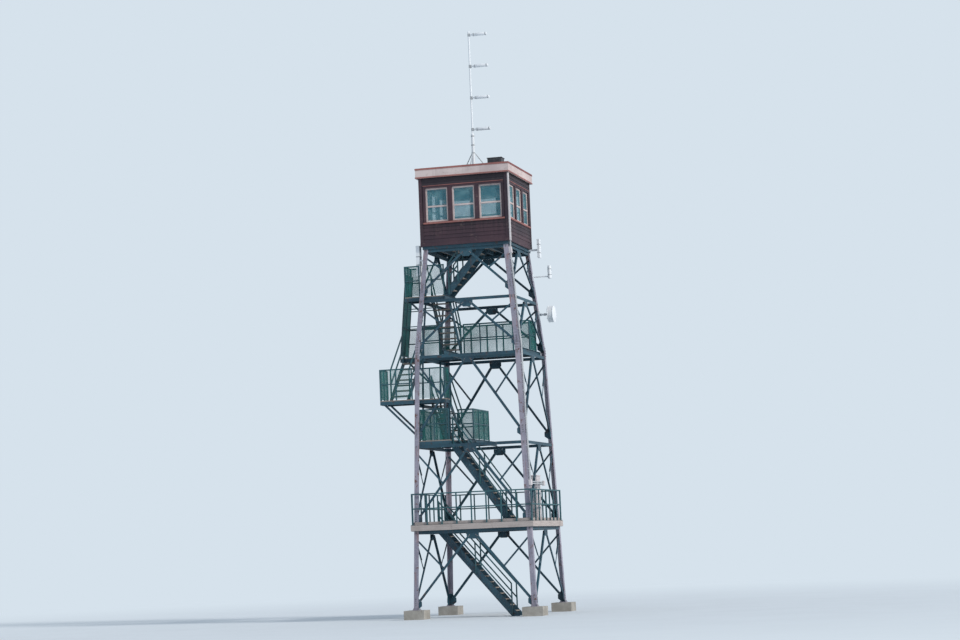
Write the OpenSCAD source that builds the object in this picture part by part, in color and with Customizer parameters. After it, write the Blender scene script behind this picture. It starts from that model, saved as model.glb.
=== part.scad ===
// Fire lookout tower: a braced steel frame on four tapered legs, with a railed lower
// deck, zigzag stairs, side landings, a small square cab and radio gear on top.
// Millimetres, +Z up. The front faces -Y and the landings reach out to the left, -X.

/* [Frame] */
// Height of the footing tops above the ground
footing_h = 300; // [250:25:350]
// Half width over the legs at the footings
base_half = 2095; // [2090:5:2100]
// Half width over the legs at the second landing, where the taper changes
kink_half = 1810; // [1805:5:1815]
// Half width over the legs under the cab
top_half = 1470; // [1465:5:1475]
// Width of each flange of a leg angle
leg_w = 160; // [150:5:165]
// Thickness of a leg angle
leg_t = 14; // [12:1:14]
// Thickness of the gusset plates and level angles
plate_t = 10; // [8:1:10]
// Width of the diagonal angles
brace_w = 80; // [70:5:85]

/* [Levels] */
// Top of the lower deck above the ground
deck_z = 3100; // [3050:25:3150]
// Rise from the deck to the first landing
first_rise = 2800; // [2750:25:2850]
// Rise from the first landing to the half landing
half_rise = 1400; // [1375:25:1425]
// Rise from the half landing to the second landing
second_rise = 1600; // [1575:25:1625]
// Rise from the second landing to the third landing
third_rise = 1880; // [1860:10:1900]
// Rise from the third landing to the cab floor
cab_rise = 1770; // [1750:10:1790]

/* [Stairs] */
// Width of the stair flights
stair_w = 620; // [600:10:640]
// Depth of the landing panels
landing_h = 150; // [140:10:150]
// How far the side landings reach from the tower axis
side_reach = 3050; // [3000:10:3100]
// Height of the railings
rail_h = 1050; // [1000:10:1100]
// Thickness of railing posts and rails
rail_t = 40; // [36:1:42]

/* [Cab] */
// Outer width of the square cab
cab_w = 3050; // [3040:5:3060]
// Thickness of the cab walls
wall_t = 100; // [90:5:110]
// Height of the window sills above the cab floor
sill_h = 720; // [700:10:760]
// Height of the windows
window_h = 1150; // [1120:10:1180]
// Width of each of the three windows in a side
window_w = 780; // [740:10:790]
// Height of the ceiling above the cab floor
ceiling_h = 2200; // [2150:10:2250]
// Height of the walls above the cab floor
wall_h = 2450; // [2420:10:2480]
// Reach of the roof beyond the walls
eaves = 75; // [60:5:90]
// Height of the pale board round the roof
fascia_h = 330; // [300:10:350]

/* [Radio gear] */
// Height of the mast tip above the ground
mast_top = 20000; // [19800:50:20100]
// Diameter of the dish
dish_d = 560; // [500:10:600]

/* [Hidden] */

// Colours
steel_dark = [0.16, 0.24, 0.27];
steel_mid = [0.34, 0.36, 0.38];
concrete = [0.66, 0.64, 0.60];
plank = [0.45, 0.40, 0.36];
maroon = [0.30, 0.16, 0.17];
trim_pale = [0.80, 0.70, 0.66];
gear_white = [0.92, 0.92, 0.92];
gear_dark = [0.15, 0.16, 0.18];

// Heights of the levels
first_z = deck_z + first_rise;
half_z = first_z + half_rise;
second_z = half_z + second_rise;
third_z = second_z + third_rise;
floor_z = third_z + cab_rise;
frame_top = floor_z - 200;
deck_girt = deck_z - 200;
first_girt = first_z - landing_h;
half_girt = half_z - landing_h;
second_girt = second_z - landing_h;
third_girt = third_z - landing_h;
ceiling_z = floor_z + ceiling_h;
roof_z = floor_z + wall_h;

// Footings, and the shift that puts the origin under the middle of the whole
footing_w = 700;
footing_mid = base_half - leg_w / 2;
footing_out = footing_mid + footing_w / 2;
shift_x = (side_reach - footing_out) / 2;

// The two stages of the frame: below and above the change of taper
stage_z = [footing_h, second_z];
stage_top = [second_z, frame_top];
stage_half = [base_half, kink_half];
stage_end = [kink_half, top_half];

// Depth of the layers inside a face: leg flange, then plates, then diagonals
plate_face = -leg_t;
brace_face = -leg_t - plate_t;
brace_t = 8;
brace_rib = 65;
girt_w = 100;
girt_rib = 80;
girt_t = 8;
weld_gap = 1;
clear = 6;

// Doors, openings and lanes
deck_open_x = [-1300, 450];
deck_open_y = [-1680, -920];
hatch_x = [-200, 620];
hatch_y = [-1360, -640];
front_lane_y = -1300;
inner_lane_x = -1160;
outer_lane_x = -2600;
top_lane_y = -1015;
post_u = 1050;
gap = 3;

// Landing outlines as [x0, x1, y0, y1]
first_in = half_at(first_girt) - leg_t - plate_t - 10;
first_front = [-first_in, -700, -first_in, deck_open_y[1] - gap];
first_back = [-first_in, -120, deck_open_y[1], 1150];
half_outer = [-side_reach, -1900, -1950, -1120];
half_inner = [-1910, -850, -1690, -1120];
second_area = [-side_reach, -850, 500, 1420];
third_area = [-2200, -800, -1460, -700];
landing_beam_w = 80;
back_beam_x = 1600;
second_back = [second_area[1] + landing_beam_w + gap, back_beam_x - gap, second_area[2], second_area[3]];

// Flights as [foot x, foot y, foot z, heading, rise, run, risers, end of the rails]
ground_flight = [1200, front_lane_y, 0, 180, deck_z, 1200 - deck_open_x[0], 16, 0.98];
deck_flight = [1150, front_lane_y, deck_z, 180, first_rise, 1150 - first_front[1], 14, 0.98];
first_flight = [inner_lane_x, 250, first_z, -90, half_rise, 250 - half_inner[3], 7, 0.98];
half_flight = [outer_lane_x, half_outer[3], half_z, 90, second_rise,
               second_area[2] - half_outer[3], 8, 0.98];
second_flight = [inner_lane_x, second_area[2], second_z, -90, third_rise,
                 second_area[2] - third_area[3], 10, 0.98];
third_flight = [-720, top_lane_y, third_z, 0, cab_rise, hatch_x[1] + 720, 9, 0.3];
flights = [ground_flight, deck_flight, first_flight, half_flight, second_flight, third_flight];

// Geometry of the tapered faces
function slope(s) = (stage_half[s] - stage_end[s]) / (stage_top[s] - stage_z[s]);
function tilt(s) = atan(slope(s));
function stage_of(z) = z < second_z ? 0 : 1;
function half_at(z) = let (s = stage_of(z)) stage_half[s] - (z - stage_z[s]) * slope(s);
function along(s, z) = (z - stage_z[s]) / cos(tilt(s));
function edge_at(s, v) = stage_half[s] - v * sin(tilt(s));

// Puts flat work on a face: x across, y up the slope, z out of the tower
module on_face(side, s) {
  rotate([0, 0, 90 * side])
    translate([0, -stage_half[s], stage_z[s]])
      rotate([90 - tilt(s), 0, 0])
        children();
}

module at_origin() {
  translate([shift_x, 0, 0]) children();
}

module block(x, y, z) {
  translate([x[0], y[0], z[0]])
    cube([x[1] - x[0], y[1] - y[0], z[1] - z[0]]);
}

// Four footings under the legs
module footings() {
  color(concrete) at_origin()
    for (sx = [-1, 1], sy = [-1, 1])
      translate([sx * footing_mid - footing_w / 2, sy * footing_mid - footing_w / 2, 0])
        cube([footing_w, footing_w, footing_h]);
}

// Section of a leg angle at a height, with its corner on both face planes
function leg_section(z) =
  let (h = half_at(z), w = leg_w, t = leg_t)
  [[h, -h], [h, w - h], [h - t, w - h], [h - t, t - h], [h - w, t - h], [h - w, -h]];

// A leg at the right end of a face: an angle in two stages on a base plate
module leg(side) {
  plate_w = leg_w + 80;
  levels = [footing_h + 5, second_z, frame_top];
  corners = 6;
  points = [for (z = levels, p = leg_section(z)) [p[0], p[1], z]];
  sides = [
    for (k = [0 : 1], i = [0 : corners - 1])
      let (a = k * corners, j = (i + 1) % corners)
      [a + i, a + corners + i, a + corners + j, a + j]
  ];
  low_end = [[0, 1, 2, 3], [0, 3, 4, 5]];
  high_end = [for (face = [[3, 2, 1, 0], [5, 4, 3, 0]]) [for (i = face) i + 2 * corners]];
  color(steel_mid) at_origin()
    rotate([0, 0, 90 * side]) {
      polyhedron(points, concat(sides, low_end, high_end));
      translate([base_half - leg_w - 40, 40 - base_half + leg_w - plate_w, footing_h])
        cube([plate_w, plate_w, 25]);
    }
}

// A level angle, and under it the plate that takes the tops of the diagonals
module girt(side, z_top, centre_plate = true) {
  s = stage_of(z_top);
  v = along(s, z_top);
  end = edge_at(s, v) - leg_t - plate_t - clear;
  on_face(side, s) {
    translate([-end, v - girt_w, brace_face])
      cube([2 * end, girt_w, plate_t]);
    translate([girt_rib - end, v - girt_t, plate_face - girt_rib])
      cube([2 * (end - girt_rib), girt_t, girt_rib]);
    if (centre_plate)
      translate([0, v - girt_w - weld_gap, brace_face])
        linear_extrude(plate_t)
          polygon([[-210, 0], [210, 0], [210, -120], [110, -210], [-110, -210], [-210, -120]]);
  }
}

// Plates on the two legs of a face that take the feet of the diagonals
module corner_plates(side, z_low) {
  s = stage_of(z_low);
  v0 = along(s, z_low);
  v1 = v0 + 400;
  inset = leg_t + plate_t + clear;
  reach = inset + 250;
  on_face(side, s)
    translate([0, 0, brace_face])
      linear_extrude(plate_t)
        for (end = [-1, 1])
          polygon([
            [end * (edge_at(s, v0) - inset), v0],
            [end * (edge_at(s, v1) - inset), v1],
            [end * (edge_at(s, v1) - inset - 90), v1],
            [end * (edge_at(s, v0) - reach), v0 + 240],
            [end * (edge_at(s, v0) - reach), v0 + 100],
            [end * (edge_at(s, v0) - inset - 110), v0]
          ]);
}

// An angle bar between two points of a face, flat side out and rib inwards
module angle_bar(p0, p1, w, t, rib) {
  d = p1 - p0;
  translate([p0[0], p0[1], brace_face])
    rotate([0, 0, atan2(d[1], d[0])])
      rotate([90, 0, 90])
        linear_extrude(norm(d))
          polygon([[-w / 2, 0], [w / 2, 0], [w / 2, -t], [t - w / 2, -t], [t - w / 2, -rib], [-w / 2, -rib]]);
}

// A light angle in the plate layer, a washer's thickness off the diagonal it ends on
module light_bar(p0, p1, w) {
  d = p1 - p0;
  len = norm(d);
  washer = 1;
  translate([p0[0], p0[1], brace_face])
    rotate([0, 0, atan2(d[1], d[0])]) {
      translate([0, -w / 2, washer])
        cube([len, w, plate_t - washer]);
      translate([len * 0.2, 10 - w / 2, -30])
        cube([len * 0.5, 8, 30 + plate_t / 2]);
    }
}

// An inverted V with its light bars between two levels of a face
module chevron(side, z_low, z_high) {
  s = stage_of(z_low);
  v_low = along(s, z_low) + 100;
  v_high = along(s, z_high) - girt_w / 2;
  foot = [edge_at(s, v_low) - 60, v_low];
  apex = [0, v_high];
  dir = (apex - foot) / norm(apex - foot);
  middle = (foot + apex) / 2;
  v_side = v_high - 220;
  corner = [edge_at(s, v_side) - 80, v_side];
  on_face(side, s)
    for (end = [0, 1])
      mirror([end, 0, 0]) {
        angle_bar(foot + dir * 150, apex - dir * 130, brace_w, brace_t, brace_rib);
        light_bar(corner, middle, 60);
      }
}

// The panels of a face as [bottom, top level angle]
panels = [
  [footing_h + 30, deck_girt],
  [deck_z + 5, first_girt],
  [first_z + 5, second_girt],
  [second_z + 5, third_girt],
  [third_z + 5, frame_top]
];

// The stairs pass through the left face in its two middle panels
function is_open(side, i) = side == 3 && (i == 2 || i == 3);

module girts(side) {
  color(steel_dark) at_origin() {
    for (i = [0 : 4]) {
      girt(side, panels[i][1], !is_open(side, i));
      if (!is_open(side, i))
        corner_plates(side, panels[i][0]);
    }
    if (side == 3)
      girt(side, half_girt, false);
  }
}

// Upright angle behind a level angle of the left face
module face_post(s, u, z0, z1) {
  on_face(3, s)
    angle_bar([u, along(s, z0)], [u, along(s, z1) - girt_t], brace_w, brace_t, brace_rib);
}

// Light bar in a narrow bay beside a post of the left face
module bay_bar(s, end, z0, z1) {
  v0 = along(s, z0);
  v1 = along(s, z1);
  on_face(3, s)
    mirror([end < 0 ? 1 : 0, 0, 0])
      light_bar([edge_at(s, v0) - 70, v0], [post_u, v1], 60);
}

module braces(side) {
  color(steel_dark) at_origin() {
    for (i = [0 : 4])
      if (!is_open(side, i))
        chevron(side, panels[i][0], panels[i][1]);
    if (side == 3) {
      for (u = [-post_u, post_u]) {
        face_post(0, u, first_z, half_girt);
        face_post(0, u, half_girt, second_girt);
      }
      face_post(1, -post_u, second_z, third_girt);
      face_post(1, post_u, second_girt + 4, third_girt);
      bay_bar(0, 1, first_z + 150, half_girt - 200);
      bay_bar(0, -1, first_z + 150, half_girt - 200);
      bay_bar(0, -1, half_girt + 100, second_girt - 220);
      bay_bar(1, 1, second_z + 150, third_girt - 220);
    }
  }
}

// Four steel channels round a square, open side in: the side ones end inside the others
module channel_ring(outer, w, h, side_half) {
  web = 9;
  flange = 10;
  for (k = [0 : 3]) {
    reach = k % 2 == 0 ? outer : side_half;
    rotate([0, 0, 90 * k])
      translate([-reach, -outer, 0])
        rotate([90, 0, 90])
          linear_extrude(2 * reach)
            polygon([
              [0, 0], [w, 0], [w, flange], [web, flange],
              [web, h - flange], [w, h - flange], [w, h], [0, h]
            ]);
  }
}

// Edge channels on the outside of the legs, and joists on the level angles
deck_half = half_at(deck_girt);
beam_w = 70;
floor_t = 60;
joist_w = 60;
deck_in = deck_half - gap;

module deck_frame() {
  joists = [deck_girt, deck_z - floor_t];
  trim_y = deck_open_y[1] + 25;
  color(steel_dark) at_origin() {
    translate([0, 0, deck_girt])
      channel_ring(deck_half + beam_w, beam_w, deck_z - deck_girt, deck_in);
    for (x = [-1700, deck_open_x[0] - 40, deck_open_x[1] + 40, 1100, 1700])
      block([x - joist_w / 2, x + joist_w / 2], [-deck_in, deck_in], joists);
    block([deck_open_x[0] - 8, deck_open_x[1] + 8], [trim_y, trim_y + joist_w], joists);
    for (x = [-720, -120])
      block([x - joist_w / 2, x + joist_w / 2], [trim_y + joist_w + gap, deck_in], joists);
  }
}

// Floor panels round the stair opening, cut back at the legs
module deck_floor() {
  z = [deck_z - floor_t, deck_z];
  notch = half_at(deck_z) - leg_w - 20;
  color(plank) at_origin()
    difference() {
      union() {
        block([-deck_in, deck_in], [deck_open_y[1], deck_in], z);
        block([-deck_in, deck_open_x[0]], [-deck_in, deck_open_y[1] - gap], z);
        block([deck_open_x[1], deck_in], [-deck_in, deck_open_y[1] - gap], z);
        block([deck_open_x[0] + gap, deck_open_x[1] - gap], [-deck_in, deck_open_y[0]], z);
      }
      for (sx = [0, 1], sy = [0, 1])
        mirror([sx, 0, 0])
          mirror([0, sy, 0])
            block([notch, 2 * notch], [notch, 2 * notch], [z[0] - 10, z[1] + 10]);
    }
}

// A straight railing along x from 0, with posts, a top rail and a middle rail
module rail_run(len, spaces) {
  step = (len - rail_t) / spaces;
  for (i = [0 : spaces])
    translate([i * step, -rail_t / 2, 0])
      cube([rail_t, rail_t, rail_h]);
  for (z = [rail_h - rail_t, rail_h * 0.5])
    translate([0, -rail_t / 2, z])
      cube([len, rail_t, rail_t]);
}

// A railing between two points of a level
module rail_between(p0, p1, z, spaces) {
  d = p1 - p0;
  translate([p0[0], p0[1], z])
    rotate([0, 0, atan2(d[1], d[0])])
      rail_run(norm(d), spaces);
}

module deck_railing() {
  mid = deck_half + beam_w / 2;
  side_end = mid - rail_t / 2 - 10;
  color(steel_dark) at_origin() {
    for (y = [-mid, mid])
      rail_between([-mid - 20, y], [mid + 20, y], deck_z, 8);
    for (x = [-mid, mid])
      rail_between([x, -side_end], [x, side_end], deck_z, 8);
  }
}

// A landing panel: a floor plate on a rim of channels, open below
module landing_panel(area) {
  web = 8;
  flange = 50;
  difference() {
    block([area[0], area[1]], [area[2], area[3]], [-landing_h, 0]);
    block([area[0] + web, area[1] - web], [area[2] + web, area[3] - web], [web - landing_h, -30]);
    block([area[0] + flange, area[1] - flange], [area[2] + flange, area[3] - flange],
          [-landing_h - 10, web - landing_h + 1]);
  }
}

module first_landing() {
  color(plank) at_origin()
    translate([0, 0, first_z]) {
      landing_panel(first_front);
      landing_panel(first_back);
    }
}

module half_landing() {
  color(plank) at_origin()
    translate([0, 0, half_z]) {
      landing_panel(half_outer);
      landing_panel(half_inner);
    }
}

module second_landing() {
  color(plank) at_origin()
    translate([0, 0, second_z]) {
      landing_panel(second_area);
      landing_panel(second_back);
    }
}

module third_landing() {
  color(plank) at_origin()
    translate([0, 0, third_z])
      landing_panel(third_area);
}

// Half of the section of an I beam, from the middle of its foot to the middle of its head
function beam_side(w, h, web, flange) = [
  [0, 0], [w / 2, 0], [w / 2, flange], [web / 2, flange],
  [web / 2, h - flange], [w / 2, h - flange], [w / 2, h], [0, h]
];

// Beams from the front to the back that carry the inner edges of the landings
module landing_beams() {
  beam = landing_beam_w;
  side = beam_side(beam, landing_h, 8, 10);
  other = [for (i = [len(side) - 2 : -1 : 1]) [-side[i][0], side[i][1]]];
  beams = [
    [first_back[1], first_girt],
    [second_area[1], second_girt],
    [back_beam_x, second_girt],
    [third_area[1], third_girt]
  ];
  color(steel_dark) at_origin()
    for (b = beams) {
      reach = half_at(b[1]) - leg_t - plate_t - 26;
      translate([b[0] + beam / 2, reach, b[1]])
        rotate([90, 0, 0])
          linear_extrude(2 * reach)
            polygon(concat(side, other));
    }
}

// Sloping bracket under an outer landing, at 45 degrees
module bracket(x_in, x_out, z_top, y) {
  w = 85;
  translate([0, y + 60, 0])
    rotate([90, 0, 0])
      linear_extrude(60)
        polygon([
          [x_in, z_top - (x_in - x_out)],
          [x_in, z_top - (x_in - x_out) + w],
          [x_out + w, z_top],
          [x_out, z_top]
        ]);
}

module landing_posts() {
  post = 70;
  color(steel_dark) at_origin() {
    for (y = [half_inner[2], half_inner[3] - post])
      block([half_inner[1] - post, half_inner[1]], [y, y + post], [first_z, half_girt]);
    bracket(-half_at(6000) - 2, 100 - side_reach, half_girt, -half_at(6000) + 40);
    bracket(-half_at(6100) + 30, 100 - side_reach, half_girt, -post_u - brace_w / 2 - 60);
    bracket(-half_at(7700) + 30, 100 - side_reach, second_girt, post_u + brace_w / 2);
    bracket(-half_at(10050) + 30, third_area[0] + 60, third_girt, -post_u - brace_w / 2 - 60);
  }
}

module landing_railings() {
  e = rail_t / 2;
  c = e + 10;
  ff = first_front;
  fb = first_back;
  ho = half_outer;
  hi = half_inner;
  sa = second_area;
  sb = second_back;
  ta = third_area;
  guard = first_in - 90;
  face = 1600;
  color(steel_dark) at_origin() {
    rail_between([-guard + c, -guard], [ff[1] - 20, -guard], first_z, 2);
    rail_between([-guard, -guard - e], [-guard, fb[3] - e - c], first_z, 4);
    rail_between([-guard - e, fb[3] - e], [fb[1] - e, fb[3] - e], first_z, 3);
    rail_between([fb[1] - e, fb[2] + 40 + c], [fb[1] - e, fb[3] - e - c], first_z, 3);
    rail_between([ff[1] + 30, fb[2] + 40], [fb[1], fb[2] + 40], first_z, 1);
    rail_between([ho[0] + e, ho[2] + e + c], [ho[0] + e, ho[3]], half_z, 2);
    rail_between([ho[0], ho[2] + e], [ho[1] - 10, ho[2] + e], half_z, 2);
    rail_between([hi[0] + 20, hi[2] + e], [hi[1], hi[2] + e], half_z, 2);
    rail_between([hi[1] - e, hi[2] + e + c], [hi[1] - e, hi[3]], half_z, 1);
    rail_between([sa[0], sa[3] - e], [sb[1], sa[3] - e], second_z, 8);
    rail_between([sb[1] - e, sb[2] + e + c], [sb[1] - e, sb[3] - e - c], second_z, 1);
    rail_between([sb[0] + 7, sb[2] + e], [sb[1], sb[2] + e], second_z, 4);
    rail_between([outer_lane_x + 370, sa[2] + e], [inner_lane_x - 370, sa[2] + e], second_z, 1);
    rail_between([ta[0] + e, ta[2] + e + c], [ta[0] + e, ta[3] - e - c], third_z, 2);
    rail_between([ta[0], ta[2] + e], [-face - 60, ta[2] + e], third_z, 1);
    rail_between([-face + 90, ta[2] + e], [ta[1], ta[2] + e], third_z, 1);
    rail_between([ta[0], ta[3] - e], [-face - 60, ta[3] - e], third_z, 1);
  }
}

// A tall screen on the outer side of the second landing, leaning in with the frame
module landing_screen() {
  t = rail_t;
  tall = 2900;
  y = [second_area[2], second_area[3] - t - 10];
  middle = (y[0] + y[1] - t) / 2;
  color(steel_dark) at_origin()
    translate([-side_reach, 0, second_z + t * sin(tilt(1))])
      rotate([0, tilt(1), 0]) {
        for (post_y = [y[0], middle, y[1] - t])
          block([0, t], [post_y, post_y + t], [0, tall]);
        for (rail_z = [80, rail_h - t, 2 * rail_h - t, tall - t])
          block([0, t], y, [rail_z, rail_z + t]);
      }
}

// Stair flights, drawn climbing along x from their foot
stringer_t = 12;
tread_t = 40;
nosing = 40;

function riser(f) = f[4] / f[6];
function going(f) = f[5] / (f[6] - 1);
function pitch_z(f, x) = (x / going(f) + 0.5) * riser(f);

module on_flight(f) {
  translate([f[0], f[1], f[2]])
    rotate([0, 0, f[3]])
      children();
}

// Both side plates of a flight, cut level at the foot and upright at the head
module stringer_pair(f) {
  half_deep = 110 / cos(atan2(riser(f), going(f)));
  middle_drop = tread_t / 2;
  x_at = [for (d = [half_deep, -half_deep]) going(f) * ((middle_drop - d) / riser(f) - 0.5)];
  x_head = going(f) * ((f[4] + middle_drop - half_deep) / riser(f) - 0.5);
  z_head = pitch_z(f, f[5]) - middle_drop - half_deep;
  for (y = [-stair_w / 2 + stringer_t, stair_w / 2])
    translate([0, y, 0])
      rotate([90, 0, 0])
        linear_extrude(stringer_t)
          polygon([[x_at[0], 0], [x_at[1], 0], [f[5], z_head], [f[5], f[4]], [x_head, f[4]]]);
}

module treads(f) {
  w = stair_w - 2 * stringer_t;
  for (k = [1 : f[6] - 1])
    translate([(k - 1) * going(f) - nosing, -w / 2, k * riser(f) - tread_t])
      cube([going(f) + nosing - (k == f[6] - 1 ? 2 : 0), w, tread_t]);
}

// A sloping handrail on the outer side of each stringer
module handrail_pair(f) {
  x0 = 30;
  x1 = f[5] * f[7];
  top = 950;
  tall = rail_t / cos(atan2(riser(f), going(f)));
  posts = x1 - x0 > 1600 ? 2 : 1;
  step = (x1 - x0 - rail_t) / posts;
  for (y = [-stair_w / 2, stair_w / 2 + rail_t])
    translate([0, y, 0])
      rotate([90, 0, 0])
        linear_extrude(rail_t) {
          for (h = [top, top * 0.5])
            polygon([
              [x0, pitch_z(f, x0) + h - tall], [x0, pitch_z(f, x0) + h],
              [x1, pitch_z(f, x1) + h], [x1, pitch_z(f, x1) + h - tall]
            ]);
          for (i = [0 : posts]) {
            x = x0 + i * step;
            polygon([
              [x, pitch_z(f, x) - 90], [x + rail_t, pitch_z(f, x) - 90],
              [x + rail_t, pitch_z(f, x + rail_t) + top - tall / 2],
              [x, pitch_z(f, x) + top - tall / 2]
            ]);
          }
        }
}

module stair_stringers() {
  color(steel_dark) at_origin()
    for (f = flights)
      on_flight(f) stringer_pair(f);
}

module stair_handrails() {
  color(steel_dark) at_origin()
    for (f = flights)
      on_flight(f) handrail_pair(f);
}

module tread_node(f) {
  color(plank) at_origin()
    on_flight(f) treads(f);
}

module treads_ground() { tread_node(ground_flight); }
module treads_deck() { tread_node(deck_flight); }
module treads_first() { tread_node(first_flight); }
module treads_half() { tread_node(half_flight); }
module treads_second() { tread_node(second_flight); }
module treads_third() { tread_node(third_flight); }

// Cab
cab_half = cab_w / 2;
frame_half = cab_half - 25;
cab_floor_t = 70;
frame_z = [frame_top, floor_z - cab_floor_t];
window_step = 935;

module cab_floor_frame() {
  b = 70;
  inside = frame_half - b - gap;
  color(steel_dark) at_origin() {
    translate([0, 0, frame_z[0]])
      channel_ring(frame_half, b, frame_z[1] - frame_z[0], inside);
    for (x = [-1050, hatch_x[0] - 40, hatch_x[1] + 40, 1100])
      block([x - 30, x + 30], [-inside, inside], frame_z);
    block([hatch_x[0] - 7, hatch_x[1] + 7], [hatch_y[1] + 5, hatch_y[1] + 65], frame_z);
    block([180, 240], [hatch_y[1] + 68, inside], frame_z);
  }
}

module cab_floor() {
  z = [floor_z - cab_floor_t, floor_z];
  color(plank) at_origin() {
    block([-cab_half, cab_half], [hatch_y[1], cab_half], z);
    block([-cab_half, hatch_x[0]], [-cab_half, hatch_y[1] - gap], z);
    block([hatch_x[1], cab_half], [-cab_half, hatch_y[1] - gap], z);
    block([hatch_x[0] + gap, hatch_x[1] - gap], [-cab_half, hatch_y[0]], z);
  }
}

// A cab wall along x with three windows cut through, outer face at -cab_half
module wall(side, half_len) {
  color(maroon) at_origin()
    rotate([0, 0, 90 * side])
      difference() {
        block([-half_len, half_len], [-cab_half, wall_t - cab_half], [floor_z, roof_z]);
        for (i = [-1 : 1])
          translate([i * window_step - window_w / 2, -cab_half - 10, floor_z + sill_h])
            cube([window_w, wall_t + 20, window_h]);
      }
}

module wall_front() { wall(0, cab_half); }
module wall_right() { wall(1, cab_half - wall_t); }
module wall_back() { wall(2, cab_half); }
module wall_left() { wall(3, cab_half - wall_t); }

module each_window() {
  at_origin()
    for (side = [0 : 3], i = [-1 : 1])
      rotate([0, 0, 90 * side])
        translate([i * window_step, 25 - cab_half, floor_z + sill_h])
          children();
}

// Two sashes to a window: the bar where they meet is a little below the middle
sash_b = 45;
sash_d = 50;
meeting_z = window_h * 0.44;
panes = [[sash_b, meeting_z], [meeting_z + 40, window_h - sash_b]];

module window_frames() {
  color(trim_pale)
    each_window()
      difference() {
        translate([-window_w / 2, 0, 0])
          cube([window_w, sash_d, window_h]);
        for (pane = panes)
          block([sash_b - window_w / 2, window_w / 2 - sash_b], [-10, sash_d + 10], pane);
      }
}

module window_glass() {
  color([0.6, 0.8, 0.85, 0.4])
    each_window()
      for (pane = panes)
        block([sash_b - window_w / 2, window_w / 2 - sash_b], [20, 26], pane);
}

module ceiling() {
  inner = cab_half - wall_t;
  color(trim_pale) at_origin()
    block([-inner, inner], [-inner, inner], [ceiling_z, ceiling_z + 40]);
}

module roof_joists() {
  inner = cab_half - wall_t;
  color(plank) at_origin()
    for (x = [-1200 : 600 : 1200])
      block([x - 30, x + 30], [-inner, inner], [ceiling_z + 40, roof_z]);
}

roof_half = cab_half + eaves;
roof_t = 60;

module roof() {
  color(steel_mid) at_origin()
    block([-roof_half, roof_half], [-roof_half, roof_half], [roof_z, roof_z + roof_t]);
}

module fascia() {
  t = 28;
  z = [roof_z + 95 - fascia_h, roof_z + 95];
  color(trim_pale) at_origin() {
    for (m = [0, 1])
      mirror([0, m, 0])
        block([-roof_half - t, roof_half + t], [-roof_half - t, -roof_half], z);
    for (m = [0, 1])
      mirror([m, 0, 0])
        block([roof_half, roof_half + t], [1 - roof_half, roof_half - 1], z);
  }
}

// Radio gear
roof_top = roof_z + roof_t;

module roof_box() {
  color(gear_dark) at_origin() {
    block([820, 1300], [-1250, -850], [roof_top, roof_top + 260]);
    translate([600, 300, roof_top])
      cylinder(d = 180, h = 240, $fn = 24);
  }
}

foot_d = 110;
foot_h = 1350;

module mast() {
  color(gear_white) at_origin()
    translate([0, 0, roof_top]) {
      cylinder(d = 320, h = 20, $fn = 32);
      cylinder(d = foot_d, h = foot_h, $fn = 32);
      cylinder(d = 60, h = mast_top - roof_top, $fn = 24);
    }
}

// Three sloping stays from plates on the roof to the mast foot
module mast_stays() {
  stay_d = 30;
  reach = 600;
  lean = 38;
  run = reach - foot_d / 2 - stay_d / 2;
  color(gear_white) at_origin()
    translate([0, 0, roof_top])
      for (a = [30 : 120 : 270])
        rotate([0, 0, a]) {
          translate([reach - 60, -60, 0])
            cube([120, 120, 15]);
          translate([reach, 0, 5])
            rotate([0, -lean, 0])
              cylinder(d = stay_d, h = run / sin(lean), $fn = 12);
        }
}

// Short side arms up the mast, each a boom with a round cover
arm_step = 1100;

module side_arms() {
  top_arm = mast_top - 120;
  color(gear_white) at_origin()
    for (i = [0 : 3])
      translate([0, 0, top_arm - i * arm_step])
        rotate([0, 90, 0]) {
          translate([0, 0, 25])
            cylinder(d = 40, h = 105, $fn = 24);
          translate([0, 0, 125])
            cylinder(d = 110, h = 520, $fn = 32);
        }
}

module dish() {
  z = 10200;
  x = half_at(z);
  color(gear_white) at_origin()
    translate([x, x - 90, z]) {
      rotate([0, 90, 0]) {
        cylinder(d = 70, h = 370, $fn = 24);
        translate([0, 0, 350])
          cylinder(d = dish_d, h = 200, $fn = 64);
        translate([0, 0, 550])
          cylinder(d1 = dish_d - 20, d2 = 240, h = 45, $fn = 64);
      }
      translate([0, -60, -150])
        cube([16, 120, 300]);
    }
}

module leg_antenna() {
  z = 11500;
  x = half_at(z);
  color(gear_white) at_origin()
    translate([x, x - 90, z]) {
      translate([0, -40, -120])
        cube([14, 80, 240]);
      translate([0, -20, -20])
        cube([620, 40, 40]);
      translate([600, 0, -60])
        cylinder(d = 130, h = 420, $fn = 32);
    }
}

module panel_antennas() {
  right_z = 12150;
  left_z = 11500;
  left_x = half_at(left_z + 500);
  color(gear_white) at_origin() {
    block([frame_half + 320, frame_half + 400], [1180, 1400], [right_z, right_z + 630]);
    block([frame_half, frame_half + 325], [1260, 1320], [frame_z[0] + 40, frame_z[1] - 30]);
    block([-left_x - 250, -left_x - 130], [60 - left_x, 310 - left_x], [left_z, left_z + 1000]);
    block([-left_x - 140, 2 - left_x], [100 - left_x, 150 - left_x], [left_z + 480, left_z + 520]);
  }
}

module cabinet() {
  color(trim_pale) at_origin()
    block([1450, 1840], [-350, 150], [deck_z, deck_z + 1500]);
}

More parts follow.
